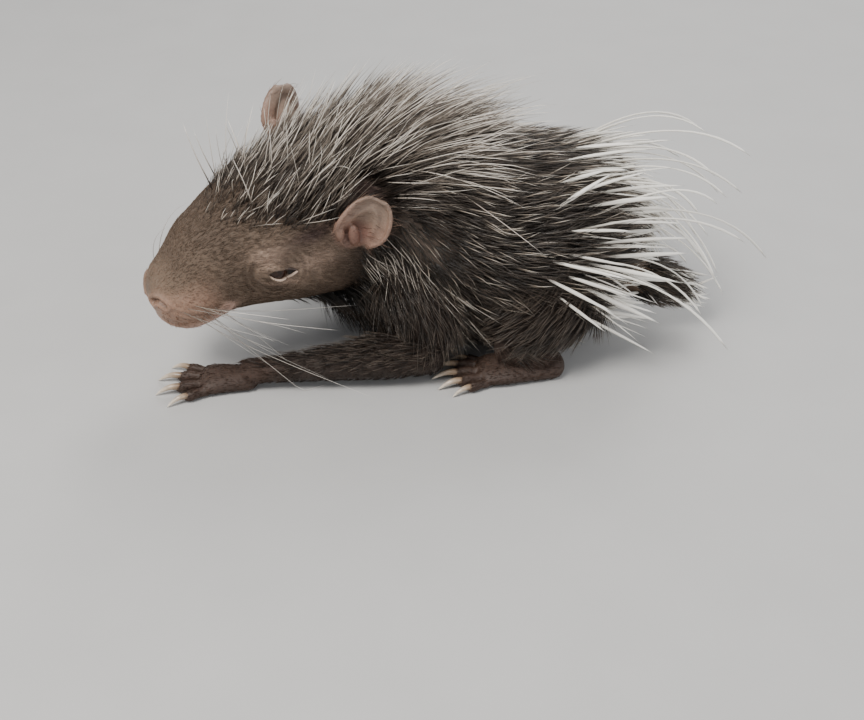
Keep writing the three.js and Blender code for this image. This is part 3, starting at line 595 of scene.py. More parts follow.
def shape_eye(points, side):
    back, out, up = eye_measures(points, side)
    away = np.sqrt(back ** 2 + out ** 2 + up ** 2)
    beside = np.hypot(back, up)
    facing = (out > 0) & (away < 12)
    upper, lower = lid_edges(back)
    inside = np.minimum(upper - up, up - lower) * (np.abs(back - EYE_SHIFT) < EYE_HALF)
    thick = 0.9 + 0.55 * bell((up - upper - 1.3) / 1.2) + 0.3 * bell((up - lower + 1.1) / 0.9)
    crease = 0.6 * bell((up - upper - 2.9) / 0.5) + 0.4 * bell((up - lower + 2.4) / 0.45)
    near = fall(beside, 5.2, 9.0)
    lids = mix(away, EYE["radius"] + thick - crease + 0.9 * ramp(beside, 4.5, 8), near)
    deep = mix(EYE["radius"] - 1.2, away - 0.9, ramp(beside, 4.4, 5.6))
    wanted = mix(lids, deep, ramp(inside, -0.1, 0.3))
    centre = eye_place(side)
    moved = centre + unit(points - centre) * wanted[:, None]
    return np.where(facing[:, None], moved, points)


def mouth_line():
    share = np.linspace(-1, 1, 41)
    reach = np.abs(share)
    angle = -np.sign(share) * mix(180, 110, reach ** 0.8)
    angle[reach == 0] = 180
    return trunk.surface(mix(4.5, 23, reach ** 1.6), angle, -0.3)


def nostril_line(side):
    station, angle = np.array([(0.5, 96), (0.9, 80), (1.8, 78), (3.2, 88)]).T
    return trunk.surface(station, angle * side)


def shape_head(points, quads):
    for side in SIDES.values():
        points = shape_eye(points, side)
    out = normals_of(points, quads)
    behind, left, above = head_measures(points)
    away, share = to_line(points, mouth_line())
    corner = ramp(np.abs(share * 2 - 1), 0.85, 1.0)
    deep = 2.0 * (1 - 0.5 * corner) * bell(away / 0.85)
    lips = 0.75 * bell((away - 2.2) / 1.2)
    points = points + out * ((lips - deep) * fall(behind, 26, 30))[:, None]
    for side in SIDES.values():
        away, share = to_line(points, nostril_line(side))
        deep = 1.9 * (1 - 0.4 * share) * bell(away / mix(0.85, 0.5, share))
        wing = 0.7 * bell((away - 1.9) / 0.9)
        points = points + out * ((wing - deep) * (behind < 14))[:, None]
    # The cleft from the nose to the lip, and the pad of the whiskers
    cleft = bell(left / 0.7) * ramp(-above, 1, 4) * fall(-above, 9, 12) * (behind < 12)
    points = points - out * (0.8 * cleft)[:, None]
    pad = bell((behind - 14) / 8, (above + 6) / 6) * ramp(np.abs(left), 6, 10)
    rows_of_pad = np.sin((above * 0.9 + behind * 0.3) * 1.9 + noise(points, 5, 7)) * 0.26
    points = points + out * (pad * (1.0 + rows_of_pad))[:, None]
    # Fine wrinkles before the eye, on the cheek and on the snout
    wrinkle = np.zeros(len(points))
    for side in SIDES.values():
        back, aside, up = eye_measures(points, side)
        away = np.sqrt(back ** 2 + aside ** 2 + up ** 2)
        rings = np.sin(away * 2.6 + 0.3 * np.sin(back)) * bell((away - 10) / 3.2)
        wrinkle += 0.14 * rings * (left * side > 4)
    wrinkle += (0.12 + 0.16 * pad) * noise(points, 2.0, 3) + 0.3 * noise(points, 7, 4)
    wrinkle *= fall(behind, 60, 75)
    return points + out * wrinkle[:, None]


def shape_body(points, quads):
    points[:, 2] = np.maximum(points[:, 2], LOWEST)
    return points


def shape_leg(points, quads):
    """Flattens the soles on the floor."""
    z = points[:, 2]
    points[:, 2] = np.where(z < SOLE, LOWEST + 0.25 * (z + 1.5).clip(0), z)
    return points


class Skin:
    """A closed part of the skin with the station, angle and direction of each of its points."""

    def __init__(self, name, limbs, solids, size, shape):
        points, quads = voxels(solids, size)
        points = shape(smoothed(points, quads), quads)
        self.name, self.points, self.quads, self.limbs = name, points, quads, limbs
        self.normals = normals_of(points, quads)
        best = np.full(len(points), 1e9)
        self.limb = np.zeros(len(points), int)
        self.station, self.angle, self.ear = np.zeros((3, len(points)))
        self.along = np.zeros_like(points)
        for i, part in enumerate(limbs):
            station, angle, along = part.locate(points)
            away = distance(points, part.surface(station, angle))
            near = away < best
            best[near], self.limb[near] = away[near], i
            self.station[near], self.angle[near], self.along[near] = station[near], angle[near], along[near]
        a, b, c, d = [points[quads[:, i]] for i in range(4)]
        self.area = np.linalg.norm(np.cross(c - a, d - b), axis=1) / 2


head_solids = [trunk.loft(150, 0.9, -SHORT_FUR, end=HEAD_CUT[1], plug=2.2)]
for side in SIDES.values():
    head_solids += [*ear_parts(side), ellipsoid(eye_place(side), (8.4, 6.9, 6.7))]
head = Skin("head", [trunk], head_solids, FINE, shape_head)
body_solids = [trunk.loft(110, 1.6, 0.0, start=HEAD_CUT[0], plug=2.0), tail.loft(36, 1.2, -0.4)]
body = Skin("body", [trunk, tail], body_solids, COARSE, shape_body)
skins = {"head": head, "body": body}
for name, limbs in legs.items():
    solids = [part.loft(40, 0.8, -0.3) for part in limbs[:3]]
    solids += [toe.loft(24, 0.4, -0.3) for toe in limbs[3:]]
    skins[name] = Skin(name, limbs, solids, FINE, shape_leg)


def ear_share(points):
    """1 on the ears and 0 on the rest of the head."""
    share = np.zeros(len(points))
    for line in ear_places.values():
        share = np.maximum(share, fall(to_line(points, line)[0], 11.5, 13.5))
    out = distance(points, trunk.surface(*trunk.locate(points)[:2]))
    share = share * ramp(out, 0.9, 2.2)
    for side, line in ear_places.items():
        base = distance(points - line[0], head_way((-1.5, 0, 0), side))
        share = np.maximum(share, fall(base, 6.5, 8.0))
    return share


def bare_patch(points):
    """The nearly bare skin above an ear."""
    share = np.zeros(len(points))
    for side in SIDES.values():
        place = trunk.surface(np.array([83.0]), np.array([54.0 * side]))
        share = np.maximum(share, fall(distance(points, place), 6, 9))
    return share


head.ear = ear_share(head.points)

# Colours of skin and coat by place, so that both carry the same markings and painted shade

FACE = np.array([0.116, 0.079, 0.054])
FACE_PALE = np.array([0.380, 0.270, 0.205])
# Near-black for painted shade in the eyes' rear corners, the mouth's slit, the nostrils and under the jaw
FACE_PAINTED_SHADE = np.array([0.050, 0.034, 0.024])
MUZZLE = np.array([0.285, 0.168, 0.115])
LIP = np.array([0.440, 0.290, 0.235])
TEMPLE = np.array([0.050, 0.028, 0.023])
BODY = np.array([0.022, 0.015, 0.011])
NAPE = np.array([0.075, 0.055, 0.042])
EAR_SKIN = np.array([0.215, 0.132, 0.096])
EAR_TOP = np.array([0.185, 0.135, 0.100])
EAR_RED = np.array([0.135, 0.050, 0.036])
FOOT = np.array([0.042, 0.023, 0.015])


def head_markings_and_shade(points, station, turn):
    """Colours and their shares at places of the head, each laid over the ones before it: markings and painted
    shade.
    """
    behind, left, above = head_measures(points)
    layers = []
    for side in SIDES.values():
        back, out, up = eye_measures(points, side)
        on = (left * side > 0).astype(float)
        upper, lower = lid_edges(back)
        # corner: the recessed rear corner of the eye's opening, painted near-black as its shade
        corner = ramp(np.minimum(upper - up, up - lower), -0.1, 0.35) * ramp(back, 2.8, 3.6) * (back < 7.2)
        layers += [
            (TEMPLE, 0.95 * bell((back - 16) / 9, (up - 9.8) / 3.2) * on),
            (FACE_PALE, 0.8 * bell((back + 1.5) / 6, (up - 7.5) / 3.4) * on),
            (FACE_PALE, 0.6 * bell((back - 15) / 8, up / 4.2) * on),
            (FACE_PALE * 1.25, 0.7 * bell((up + 4.4 + 0.3 * back) / 1.3, back / 6) * on * ramp(out, 1, 3)),
            (FACE_PAINTED_SHADE * 0.25, corner * on * (out > 0))]
    mouth = to_line(points, mouth_line())[0]
    layers += [  # the darker bridge, the pinkish muzzle and its tip, the lips, and painted shade in the mouth's slit
        (FACE * 0.72, 0.65 * (fall(turn, 18, 62) * ramp(station, 3, 14))),
        (MUZZLE, 0.72 * (fall(station, 15, 27) * ramp(turn, 46, 84))),
        (MUZZLE, 0.35 * (fall(station, 1, 7) * ramp(turn, 20, 60))),
        (LIP, 0.8 * bell((mouth - 1.6) / 1.6) * (behind < 30)),
        (FACE_PAINTED_SHADE * 0.5, bell(mouth / 0.6) * (behind < 30))]
    # Painted shade in the nostrils
    for side in SIDES.values():
        away = to_line(points, nostril_line(side))[0]
        layers.append((FACE_PAINTED_SHADE * 0.4, bell(away / 0.9) * (behind < 14)))
    # Painted shade on the underside of the jaw
    jaw_shade = ramp(turn, 112, 150) * ramp(station, 24, 50)
    ear = ear_share(points)
    # The bare patch above each ear gets the dark temple colour: its own dark skin and painted shade above the
    # ear
    layers += [(TEMPLE, 0.8 * bare_patch(points)), (FACE_PAINTED_SHADE, 0.6 * jaw_shade), (EAR_SKIN, ear)]
    for places in ear_places.values():
        low, _, top = [distance(points, place) for place in places]
        layers += [(EAR_RED, 0.6 * ear * fall(low, 3, 9)),
                   (EAR_TOP, 0.7 * ear * fall(top, 4, 11))]
    return layers


def markings_and_shade(name, points, station, angle):
    """Base colour at places of the skin, with painted shade on the head."""
    if name in ("head", "body"):
        base, layers = FACE, [(NAPE, ramp(station, 62, 86)), (BODY, ramp(station, 112, 140))]
        if name == "head":
            layers += head_markings_and_shade(points, station, np.abs(angle))
    else:
        above = ramp(points[:, 2], 9, 20)
        if name in WRISTS:
            above = np.maximum(above, ramp(points[:, 0], WRISTS[name] - 8, WRISTS[name] + 8))
        base, layers = FOOT, [(BODY, 0.85 * above)]
    colour = np.tile(base, (len(points), 1))
    for paint, share in layers:
        colour = colour * (1 - share[:, None]) + paint * share[:, None]
    mottle = 1 + 0.09 * noise(points, 3.2, 8) + 0.12 * noise(points, 9, 9)
    return colour * mottle.clip(0.5, 1.5)[:, None]


# Materials

def feed(tree, made, inputs):
    """Links or sets the inputs of a node, by name or number."""
    for key, value in inputs.items():
        if isinstance(value, bpy.types.NodeSocket):
            tree.links.new(value, made.inputs[key])
        else:
            made.inputs[key].default_value = value


def node(tree, kind, inputs, **settings):
    """The first output of a new node."""
    made = tree.nodes.new(f"ShaderNode{kind}")
    for key, value in settings.items():
        setattr(made, key, value)
    feed(tree, made, inputs)
    return made.outputs[0]


def attribute(tree, name):
    """A value of the points, or their colour for the name tint."""
    output = node(tree, "Attribute", {}, attribute_name=name)
    return output if name == "tint" else output.node.outputs["Fac"]


def colour_ramp(tree, source, *stops):
    output = node(tree, "ValToRGB", {"Fac": source})
    elements = output.node.color_ramp.elements
    while len(elements) < len(stops):
        elements.new(0.5)
    for element, (place, colour) in zip(elements, stops):
        element.position = place
        element.color = (*colour, 1)
    return output


def scaled(tree, colour, factor):
    return node(tree, "VectorMath", {0: colour, "Scale": factor}, operation="SCALE")


def from_range(tree, source, low, high, to_low, to_high):
    return node(tree, "MapRange", {"Value": source, "From Min": low, "From Max": high, "To Min": to_low,
                                   "To Max": to_high})


def bump(tree, height, strength, distance):
    return node(tree, "Bump", {"Height": height, "Strength": strength, "Distance": distance})


def place_noise(tree, scale, detail=4.0):
    place = tree.nodes.new("ShaderNodeTexCoord").outputs["Object"]
    return node(tree, "TexNoise", {"Vector": place, "Scale": scale, "Detail": detail})


def material(name, inputs):
    """A material whose shader gets the inputs that a function makes in its node tree."""
    made = bpy.data.materials.new(name)
    made.use_nodes = True
    tree = made.node_tree
    feed(tree, tree.nodes["Principled BSDF"], inputs(tree))
    return made


def skin_inputs(tree):
    fine = place_noise(tree, 1400, 5)
    both = node(tree, "Math", {0: fine, 1: place_noise(tree, 260, 5)}, operation="ADD")
    return {"Base Color": scaled(tree, attribute(tree, "tint"), from_range(tree, fine, 0.3, 0.7, 0.86, 1.14)),
            "Roughness": from_range(tree, attribute(tree, "bare"), 0, 1, 0.85, 0.48),
            "Normal": bump(tree, both, 0.45, 0.0004), "Subsurface Weight": 0.08,
            "Subsurface Radius": (0.0016, 0.0007, 0.0004), "Subsurface Scale": 1.0}


def velvet_inputs(tree):
    """Short fur, which takes the colour of the skin that it grows on."""
    lift = node(tree, "Math", {0: from_range(tree, attribute(tree, "along"), 0, 1, 0.85, 1.18),
                               1: from_range(tree, attribute(tree, "tone"), 0, 1, 0.82, 1.2)},
                operation="MULTIPLY")
    return {"Base Color": scaled(tree, attribute(tree, "tint"), lift), "Roughness": 0.62,
            "Specular IOR Level": 0.3}


def bristle(name, root, middle, tip, rough=0.42, spread=(0.55, 1.35), start=0.35):
    """Hair or quill whose colour runs from root to tip and whose brightness differs by hair."""
    def inputs(tree):
        shift = node(tree, "Math", {0: place_noise(tree, 900, 3), 1: 0.14, 2: attribute(tree, "along")},
                     operation="MULTIPLY_ADD")
        colour = colour_ramp(tree, shift, (0.05, root), (start, root), (start + 0.2, middle), (0.98, tip))
        shade = from_range(tree, attribute(tree, "tone"), 0, 1, *spread)
        return {"Base Color": scaled(tree, colour, shade), "Roughness": rough, "Specular IOR Level": 0.45}
    return material(name, inputs)


def plain(name, colour, rough, pale=1.2, dark=0.8, scale=500, strength=0.2):
    def inputs(tree):
        fine = place_noise(tree, scale, 4)
        low, high = [tuple(c * k for c in colour) for k in (dark, pale)]
        return {"Base Color": colour_ramp(tree, fine, (0.3, low), (0.7, high)), "Roughness": rough,
                "Normal": bump(tree, fine, strength, 0.0002)}
    return material(name, inputs)


def claw_inputs(tree):
    fine = place_noise(tree, 700, 3)
    colour = colour_ramp(tree, attribute(tree, "along"), (0.0, (0.09, 0.05, 0.03)),
                         (0.35, (0.34, 0.25, 0.17)), (0.8, (0.60, 0.52, 0.42)), (1.0, (0.72, 0.66, 0.56)))
    return {"Base Color": scaled(tree, colour, from_range(tree, fine, 0.3, 0.7, 0.8, 1.15)),
            "Roughness": 0.32, "Normal": bump(tree, fine, 0.15, 0.0002)}


def eye_inputs(tree):
    colour = colour_ramp(tree, place_noise(tree, 600, 2), (0.3, (0.012, 0.005, 0.003)),
                         (0.75, (0.040, 0.016, 0.009)))
    return {"Base Color": colour, "Roughness": 0.05, "IOR": 1.376}


MATERIALS = {
    "skin": material("skin", skin_inputs),
    "velvet": material("short_fur", velvet_inputs),
    "mane": bristle("grey_bristle", (0.026, 0.019, 0.014), (0.075, 0.059, 0.046), (0.205, 0.168, 0.132),
                    start=0.25),
    "white": bristle("white_bristle", (0.04, 0.030, 0.023), (0.50, 0.44, 0.37), (0.84, 0.78, 0.69),
                     rough=0.35, spread=(0.7, 1.1), start=0.22),
    "brown": bristle("brown_hair", (0.018, 0.013, 0.010), (0.040, 0.030, 0.023), (0.072, 0.056, 0.043)),
    "dark": bristle("dark_hair", (0.012, 0.009, 0.006), (0.022, 0.016, 0.011), (0.046, 0.034, 0.025)),
    "bristle": bristle("brown_bristle", (0.014, 0.010, 0.007), (0.032, 0.023, 0.017), (0.100, 0.077, 0.058)),
    "spine": bristle("spine", (0.014, 0.010, 0.007), (0.24, 0.195, 0.150), (0.74, 0.67, 0.57), start=0.55),
    "quill": bristle("quill", (0.05, 0.036, 0.026), (0.76, 0.72, 0.64), (0.90, 0.87, 0.80),
                     rough=0.3, spread=(0.8, 1.05), start=0.1),
    "whisker": bristle("whisker", (0.20, 0.17, 0.14), (0.50, 0.46, 0.40), (0.68, 0.64, 0.58), rough=0.3),
    "claw": material("claw", claw_inputs),
    "eye": material("eye", eye_inputs),
    "lid": plain("lid_rim", (0.045, 0.027, 0.020), 0.45),
    "lid_pale": plain("lid_rim_pale", (0.47, 0.35, 0.27), 0.5),
    "floor": plain("floor", (0.45, 0.445, 0.435), 0.75, 1.02, 0.98, 30, 0.02),
}


# The skin object

def bareness(part):
    """How bare and smooth the skin is: the ears, the nose and the soles."""
    if part is head:
        tip = fall(head_measures(part.points)[0], 2, 8)
        pad = fall(part.station, 15, 25) * ramp(np.abs(part.angle), 50, 80)
        return np.maximum(np.maximum(part.ear, tip), 0.7 * pad)
    return np.zeros(len(part.points)) if part is body else 0.6 * fall(part.points[:, 2], 4, 9)


skin = new_object("skin", *joined(*((part.points, part.quads) for part in skins.values())), MATERIALS["skin"])
point_values(skin, "tint", np.concatenate([
    markings_and_shade(name, part.points, part.station, part.angle) for name, part in skins.items()]))
point_values(skin, "bare", np.concatenate([bareness(part) for part in skins.values()]))
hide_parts("head", "neck", "torso", "tail", "ear_left", "ear_right", "foreleg_left", "foreleg_right",
            "forepaw_left", "forepaw_right", "hindleg_left", "hindleg_right", "hindfoot_left",
            "hindfoot_right")

# Eyes and the rims of their lids, which lie on the eye and, behind it, on the skin
for name, side in SIDES.items():
    radii = (EYE["radius"] - 0.12,) * 3
    eye = new_object(f"eyeball_{name}", *ellipsoid(eye_place(side), radii, 64, 40), MATERIALS["eye"])
    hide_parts(f"eye_{name}")
    x = np.linspace(-4.7, 7.0, 50)
    back, skin_out, skin_up = eye_measures(head.points, side)
    for lid, up, thick, paint in zip(("upper", "lower"), lid_edges(x), (0.5, 0.62), ("lid", "lid_pale")):
        out = np.sqrt(np.maximum((EYE["radius"] + 0.3) ** 2 - x ** 2 - up ** 2, 1.0))
        for i in np.flatnonzero(x > 3.5):
            near = (np.hypot(back - x[i], skin_up - up[i]) < 0.8) & (skin_out > 0)
            if near.any():
                out[i] = max(out[i], skin_out[near].mean() + 0.15)
        out[4:-4] = np.convolve(out, np.ones(9) / 9, "valid")
        line = np.stack([eye_place(side, *place) for place in zip(x, out, up)])
        girth = thick * (1 - 0.45 * (np.abs(x - EYE_SHIFT) / EYE_HALF) ** 3)
        rim = new_object(f"lid_{lid}_{name}", *tube(line, girth), MATERIALS[paint])

# Claws
along = np.linspace(0, 1, 9)
claw_parts = [tube(line, thick * np.power(1 - along, 0.6) + 0.08) for line, thick in claw_lines]
claws = new_object("claws", *joined(*claw_parts), MATERIALS["claw"])
point_values(claws, "along", np.tile([0, *np.repeat(along, TUBE_SIDES), 1], len(claw_lines)))


# Coat

TILES = {"fore_left": 0, "fore_right": 1, "hind_left": 2, "hind_right": 3, "body": 4}  # of the unwrap
PATCH = 0.003  # the size of a strand on the unwrap
MOST_TRIANGLES = 185000  # in one piece of the coat
ROOM = 0.45  # between the strands and the floor
EAR_ROOM = 1.9  # between other strands and the ears
END_ON = 0.86  # nothing grows on a limb's end, where the skin faces along it more than this
ROOT_DEPTH = 0.4  # of single hairs
# The strands keep to the box of the solids and a little more.
LOW = np.array(cad_box[0]) / MM + REST - (5.5, 2.8, 0)
HIGH = np.array(cad_box[1]) / MM + REST + (5.5, 2.8, 2.4)


def unwrap(part, hair):
    """The place of a root on the unwrap of the skin: the trunk above, the other limbs below it."""
    length = np.array([one.length for one in part.limbs])[hair["limb"]]
    turn, share = hair["angle"] / 360 + 0.5, hair["station"] / length
    on_trunk = (part.name in ("head", "body")) & (hair["limb"] == 0)
    tile = 0.14 * TILES.get(part.name, 4)
    low = np.stack([tile + 0.005 + 0.13 * turn, 0.005 + 0.035 * (hair["limb"] % 8) + 0.03 * share], 1)
    high = np.stack([0.01 + 0.98 * turn, 0.32 + 0.67 * share], 1)
    return np.where(on_trunk[:, None], high, low)


def around(found):
    """Station and angle from the top to either side, and the places themselves."""
    return found["station"], np.abs(found["angle"]), found


def sampled(part, count, density):
    """So many random places of a skin part, spread as a density says."""
    def values(vertex):
        return {"out": part.normals[vertex], "station": part.station[vertex], "angle": part.angle[vertex],
                "along": part.along[vertex], "limb": part.limb[vertex], "ear": part.ear[vertex]}
    here = {"root": part.points[part.quads[:, 0]], **values(part.quads[:, 0])}
    weight = part.area * density(*around(here)) * (np.abs(np.sum(here["out"] * here["along"], 1)) < END_ON)
    if part in (head, body):
        ahead = here["station"] < sum(HEAD_CUT) / 2
        weight = weight * (ahead if part is head else ~ahead | (here["limb"] > 0))
    chosen = random.choice(len(weight), size=count, p=weight / weight.sum())
    u, v = random.random((2, count, 1))
    a, b, c, d = [part.points[part.quads[chosen, i]] for i in range(4)]
    root = mix(mix(a, b, u), mix(d, c, u), v)
    return {"root": root, **values(part.quads[chosen, random.integers(0, 4, count)])}


def planted(station, angle, deep=ROOT_DEPTH):
    """Measures of single hairs at stations and angles of the trunk."""
    return {"root": trunk.surface(station, angle, -deep), "out": trunk.normal(station, angle),
            "station": station, "angle": angle, "along": trunk.frame(station)["along"],
            "limb": np.zeros(len(station), int)}


def spaced(found, room):
    """Keeps places that stand apart from each other."""
    kept = []
    for i, point in enumerate(found["root"]):
        if all(np.linalg.norm(point - found["root"][k]) > room for k in kept):
            kept.append(i)
    return only(found, kept)


def groomed(found, length, rise, radius, fan=0.0, stray=8.0, settle=6.0, droop=0.0, curl=0.12,
            sink=1.2, sway=6.0, vary=0.25):
    """Directions, sizes and shades of strands at sampled places."""
    count = len(found["root"])
    out, angle = found["out"], found["angle"]
    back = unit(found["along"] - out * np.sum(found["along"] * out, 1, keepdims=True))
    down = np.cross(back, out) * np.sign(angle)[:, None]
    turn = fan * np.abs(angle) / 90 + random.normal(0, stray / 2, count) + sway * noise(found["root"], 9, 5)
    turn = np.radians(turn)[:, None]

    def spread(value, amount):
        return value * np.ones(count) * (1 + random.uniform(-amount, amount, count))
    return {**found, "lie": unit(back * np.cos(turn) + down * np.sin(turn)),
            "length": spread(length, vary), "rise": spread(rise, 0.2) + 3 * noise(found["root"], 6, 6),
            "radius": spread(radius, 0.25), "settle": settle, "droop": droop, "sink": sink,
            "curl": random.normal(0, curl, count), "tone": random.uniform(0, 1, count)}


def strand_lines(hair, steps):
    """Middle lines of strands, count by steps + 1 by 3, from below the skin to the tip."""
    out, lie = hair["out"], hair["lie"]
    here = hair["root"]
    line = [here - out * hair["sink"] * 0.8 - lie * hair["sink"] * 0.6]
    across = unit(np.cross(lie, out))
    for i in range(1, steps + 1):
        t = (i - 0.5) / steps
        angle = np.radians(hair["rise"] - hair["settle"] * t)[:, None]
        heading = lie * np.cos(angle) + out * np.sin(angle) + across * (hair["curl"] * t)[:, None]
        heading[:, 2] -= hair["droop"] * t * t
        here = here + unit(heading) * (hair["length"] / steps)[:, None]
        line.append(here)
    return np.stack(line, 1)


def clumped(line, root, spacing, pull):
    """Draws the strands of each lock towards its middle strand, most at the tips."""
    count = len(root)
    tree = tree_of(root)
    taken = np.zeros(count, bool)
    owner = np.arange(count)
    for i in random.permutation(count):
        if taken[i]:
            continue
        for _, j, _ in tree.find_range(root[i], spacing):
            if not taken[j]:
                taken[j] = True
                owner[j] = i
    t = np.linspace(0, 1, line.shape[1])[None, :, None]
    pull = pull * (0.5 + random.random(count))[:, None, None]
    guide = line[owner] - (root[owner] - root)[:, None, :] * (1 - t)
    return mix(line, guide, np.clip(pull * t ** 1.3, 0, 0.95))


def kept_in(line):
    """Strands that would leave the box lie flatter, and none goes under the floor."""
    root = line[:, 1:2, :]
    reach = line - root
    for axis in range(3):
        slack = random.uniform(0, 1.5, len(line))
        over = (HIGH[axis] - slack - root[:, 0, axis]) / np.maximum(reach[:, :, axis].max(1), 1e-6)
        under = (LOW[axis] + slack - root[:, 0, axis]) / np.minimum(reach[:, :, axis].min(1), -1e-6)
        scale = np.clip(over, 0.05, 1)
        if axis < 2:
            scale = np.minimum(scale, np.clip(under, 0.05, 1))
        reach[:, :, axis] *= scale[:, None]
    line = root + reach
    z = line[:, :, 2]
    line[:, :, 2] = np.where(z < ROOM, ROOM + 0.1 * np.exp(np.clip(z - ROOM, -6, 0)), z)
    return line


v, u = np.meshgrid(np.linspace(0.12, 0.98, 14), np.linspace(-1, 1, 13), indexing="ij")
ear_points = np.concatenate([sheet(u, v).reshape(-1, 3) for sheet in ear_sheets.values()])
ear_tree = tree_of(ear_points)


def clear_of_ears(line, station):
    """False for strands that would run through an ear."""
    clear = np.ones(len(line), bool)
    for i in np.flatnonzero((station > 45) & (station < 125)):
        clear[i] = all(ear_tree.find(point)[2] >= EAR_ROOM for point in line[i, 1:])
    return clear


GIRTHS = {
    "hair": lambda t: 1 - 0.75 * t ** 1.8,
    "quill": lambda t: np.interp(t, (0, 0.12, 0.3, 0.55, 0.8, 1), (0.35, 0.5, 0.9, 1, 0.62, 0.2)),
    "wand": lambda t: np.interp(t, (0, 0.3, 0.55, 0.8, 0.95, 1), (0.75, 0.8, 0.6, 0.95, 0.8, 0.4)),
}


def strand_mesh(line, out, radius, girth, sides, flat):
    """Closed tapered strands: points, triangles, and place round and along each strand."""
    count, rings = line.shape[0], line.shape[1] - 1
    heading = unit(line[:, 1:] - line[:, :-1])
    heading = unit(np.concatenate([heading[:, :1], heading[:, :-1] + heading[:, 1:]], 1))[:, :rings]
    across = unit(np.cross(line[:, -1] - line[:, 0], out))[:, None, :]
    level = unit(np.cross(across, heading))
    side = np.cross(heading, level)
    t = np.linspace(0, 1, rings + 1)[:-1]
    size = (radius[:, None] * GIRTHS[girth](t)[None])[..., None, None]
    a = np.arange(sides) * 2 * np.pi / sides
    ring = (line[:, :-1, None, :] + size * (level[:, :, None] * np.sin(a)[None, None, :, None] * flat
                                            + side[:, :, None] * np.cos(a)[None, None, :, None]))
    points = np.concatenate([ring.reshape(count, -1, 3), line[:, -1:, :]], 1)
    i, j = grid(rings - 1, sides)
    p, q = i * sides + j, i * sides + (j + 1) % sides
    tip, j, k = rings * sides, np.arange(sides), np.arange(1, sides - 1)
    top = tip - sides
    faces = [(p, q + sides, q), (p, p + sides, q + sides), (top + j, 0 * j + tip, top + (j + 1) % sides),
             (0 * k, k, k + 1)]
    faces = np.concatenate([np.stack(corners, -1) for corners in faces])
    faces = (faces[None] + (np.arange(count) * (tip + 1))[:, None, None]).reshape(-1, 3)
    turn = np.append(np.tile(np.arange(sides) / (sides - 1), rings), 0.5)
    return points, faces, np.stack([turn, np.append(np.repeat(t, sides), 1.0)], 1)


def coat(name, hair, part, paint, steps, sides=3, girth="hair", flat=1.0, slot="coat", clump=None):
    """Meshes of one kind of strand, in pieces of a limited count of triangles."""
    line = strand_lines(hair, steps)
    if clump:
        line = clumped(line, hair["root"], *clump)
    line = kept_in(line)
    hair = {key: hair[key] for key in ("root", "out", "station", "angle", "limb", "radius", "tone")}
    if part in (head, body) and slot != "face":
        clear = clear_of_ears(line, hair["station"])
        line, hair = line[clear], only(hair, clear)
    spot = unwrap(part, hair)
    tint = markings_and_shade(part.name, hair["root"], hair["station"], hair["angle"]) if paint == "velvet" else None
    per = 2 * sides * (steps - 1) + sides + sides - 2
    pieces = max(1, math.ceil(len(line) * per / MOST_TRIANGLES))
    order = np.argsort(hair["station"], kind="stable")
    for index, chosen in enumerate(np.array_split(order, pieces)):
        points, faces, place = strand_mesh(
            line[chosen], hair["out"][chosen], hair["radius"][chosen], girth, sides, flat)
        label = f"{name}_{index + 1}" if pieces > 1 else name
        obj = new_object(label, points.reshape(-1, 3), faces, MATERIALS[paint])
        point_values(obj, "along", np.tile(place[:, 1], len(chosen)))
        point_values(obj, "tone", np.repeat(hair["tone"][chosen], len(place)))
        if tint is not None:
            point_values(obj, "tint", np.repeat(tint[chosen], len(place), 0))
        uv = (spot[chosen][:, None, :] + (place[None] - 0.5) * PATCH).reshape(-1, 2)
        layer = obj.data.uv_layers.new(name="OFBake")
        layer.data.foreach_set("uv", uv[faces.ravel()].astype(np.float32).ravel())


def field(name, part, many, density, paint, steps, groom, room=None, **looks):
    """One field of the coat. Density and groom are functions of station, angle and place."""
    found = sampled(part, many, density)
    if room:
        found = spaced(found, room)
    coat(name, groomed(found, **groom(*around(found))), part, paint, steps, **looks)


def trunk_only(density):
    return lambda s, a, f: density(s, a, f) * (f["limb"] == 0) * (1 - f["ear"])


def near_eye(root, reach):
    share = np.zeros(len(root))
    for side in SIDES.values():
        back, out, up = eye_measures(root, side)
        upper, lower = lid_edges(back)
        beside = np.abs(back - EYE_SHIFT) < EYE_HALF + reach
        share = np.maximum(share, (up < upper + reach) & (up > lower - reach) & beside & (out > 0))
    return share


def near_mouth(root):
    share = fall(to_line(root, mouth_line())[0], 0.9, 2.2)
    for side in SIDES.values():
        share = np.maximum(share, fall(to_line(root, nostril_line(side))[0], 1.2, 2.4))
    return share


# Short fur of the face, thinner on the muzzle
def face_density(s, a, f):
    share = 0.35 + 0.65 * np.maximum(ramp(s, 13, 27), fall(a, 46, 84)) * ramp(s, 1, 8)
    share *= fall(s, 93, 98)
    share *= (1 - near_eye(f["root"], 0.6)) * (1 - near_mouth(f["root"]))
    return share * (1 - 0.95 * f["ear"])


def face_groom(s, a, f):
    long = mix(1.5, 3.0, ramp(s, 6, 36)) + 2.4 * ramp(s, 60, 90) + 1.5 * ramp(a, 110, 160) * ramp(s, 30, 60)
    return dict(length=long, rise=9 + 8 * ramp(s, 50, 80), radius=0.08, fan=16, stray=9, settle=4, sink=0.4,
                sway=5)


field("face_fur", head, 34000, face_density, "velvet", 2, face_groom, slot="face")


# Crown: bristles that stand up, at the sides towards the crest
def crown_density(s, a, f):
    edge = np.interp(s, (29, 37, 44, 57, 70), (2, 22, 40, 52, 57))
    share = ramp(s, 25, 56) * fall(a, edge, edge + 11) * fall(s, 96, 99)
    return share * (1 - bare_patch(f["root"]))


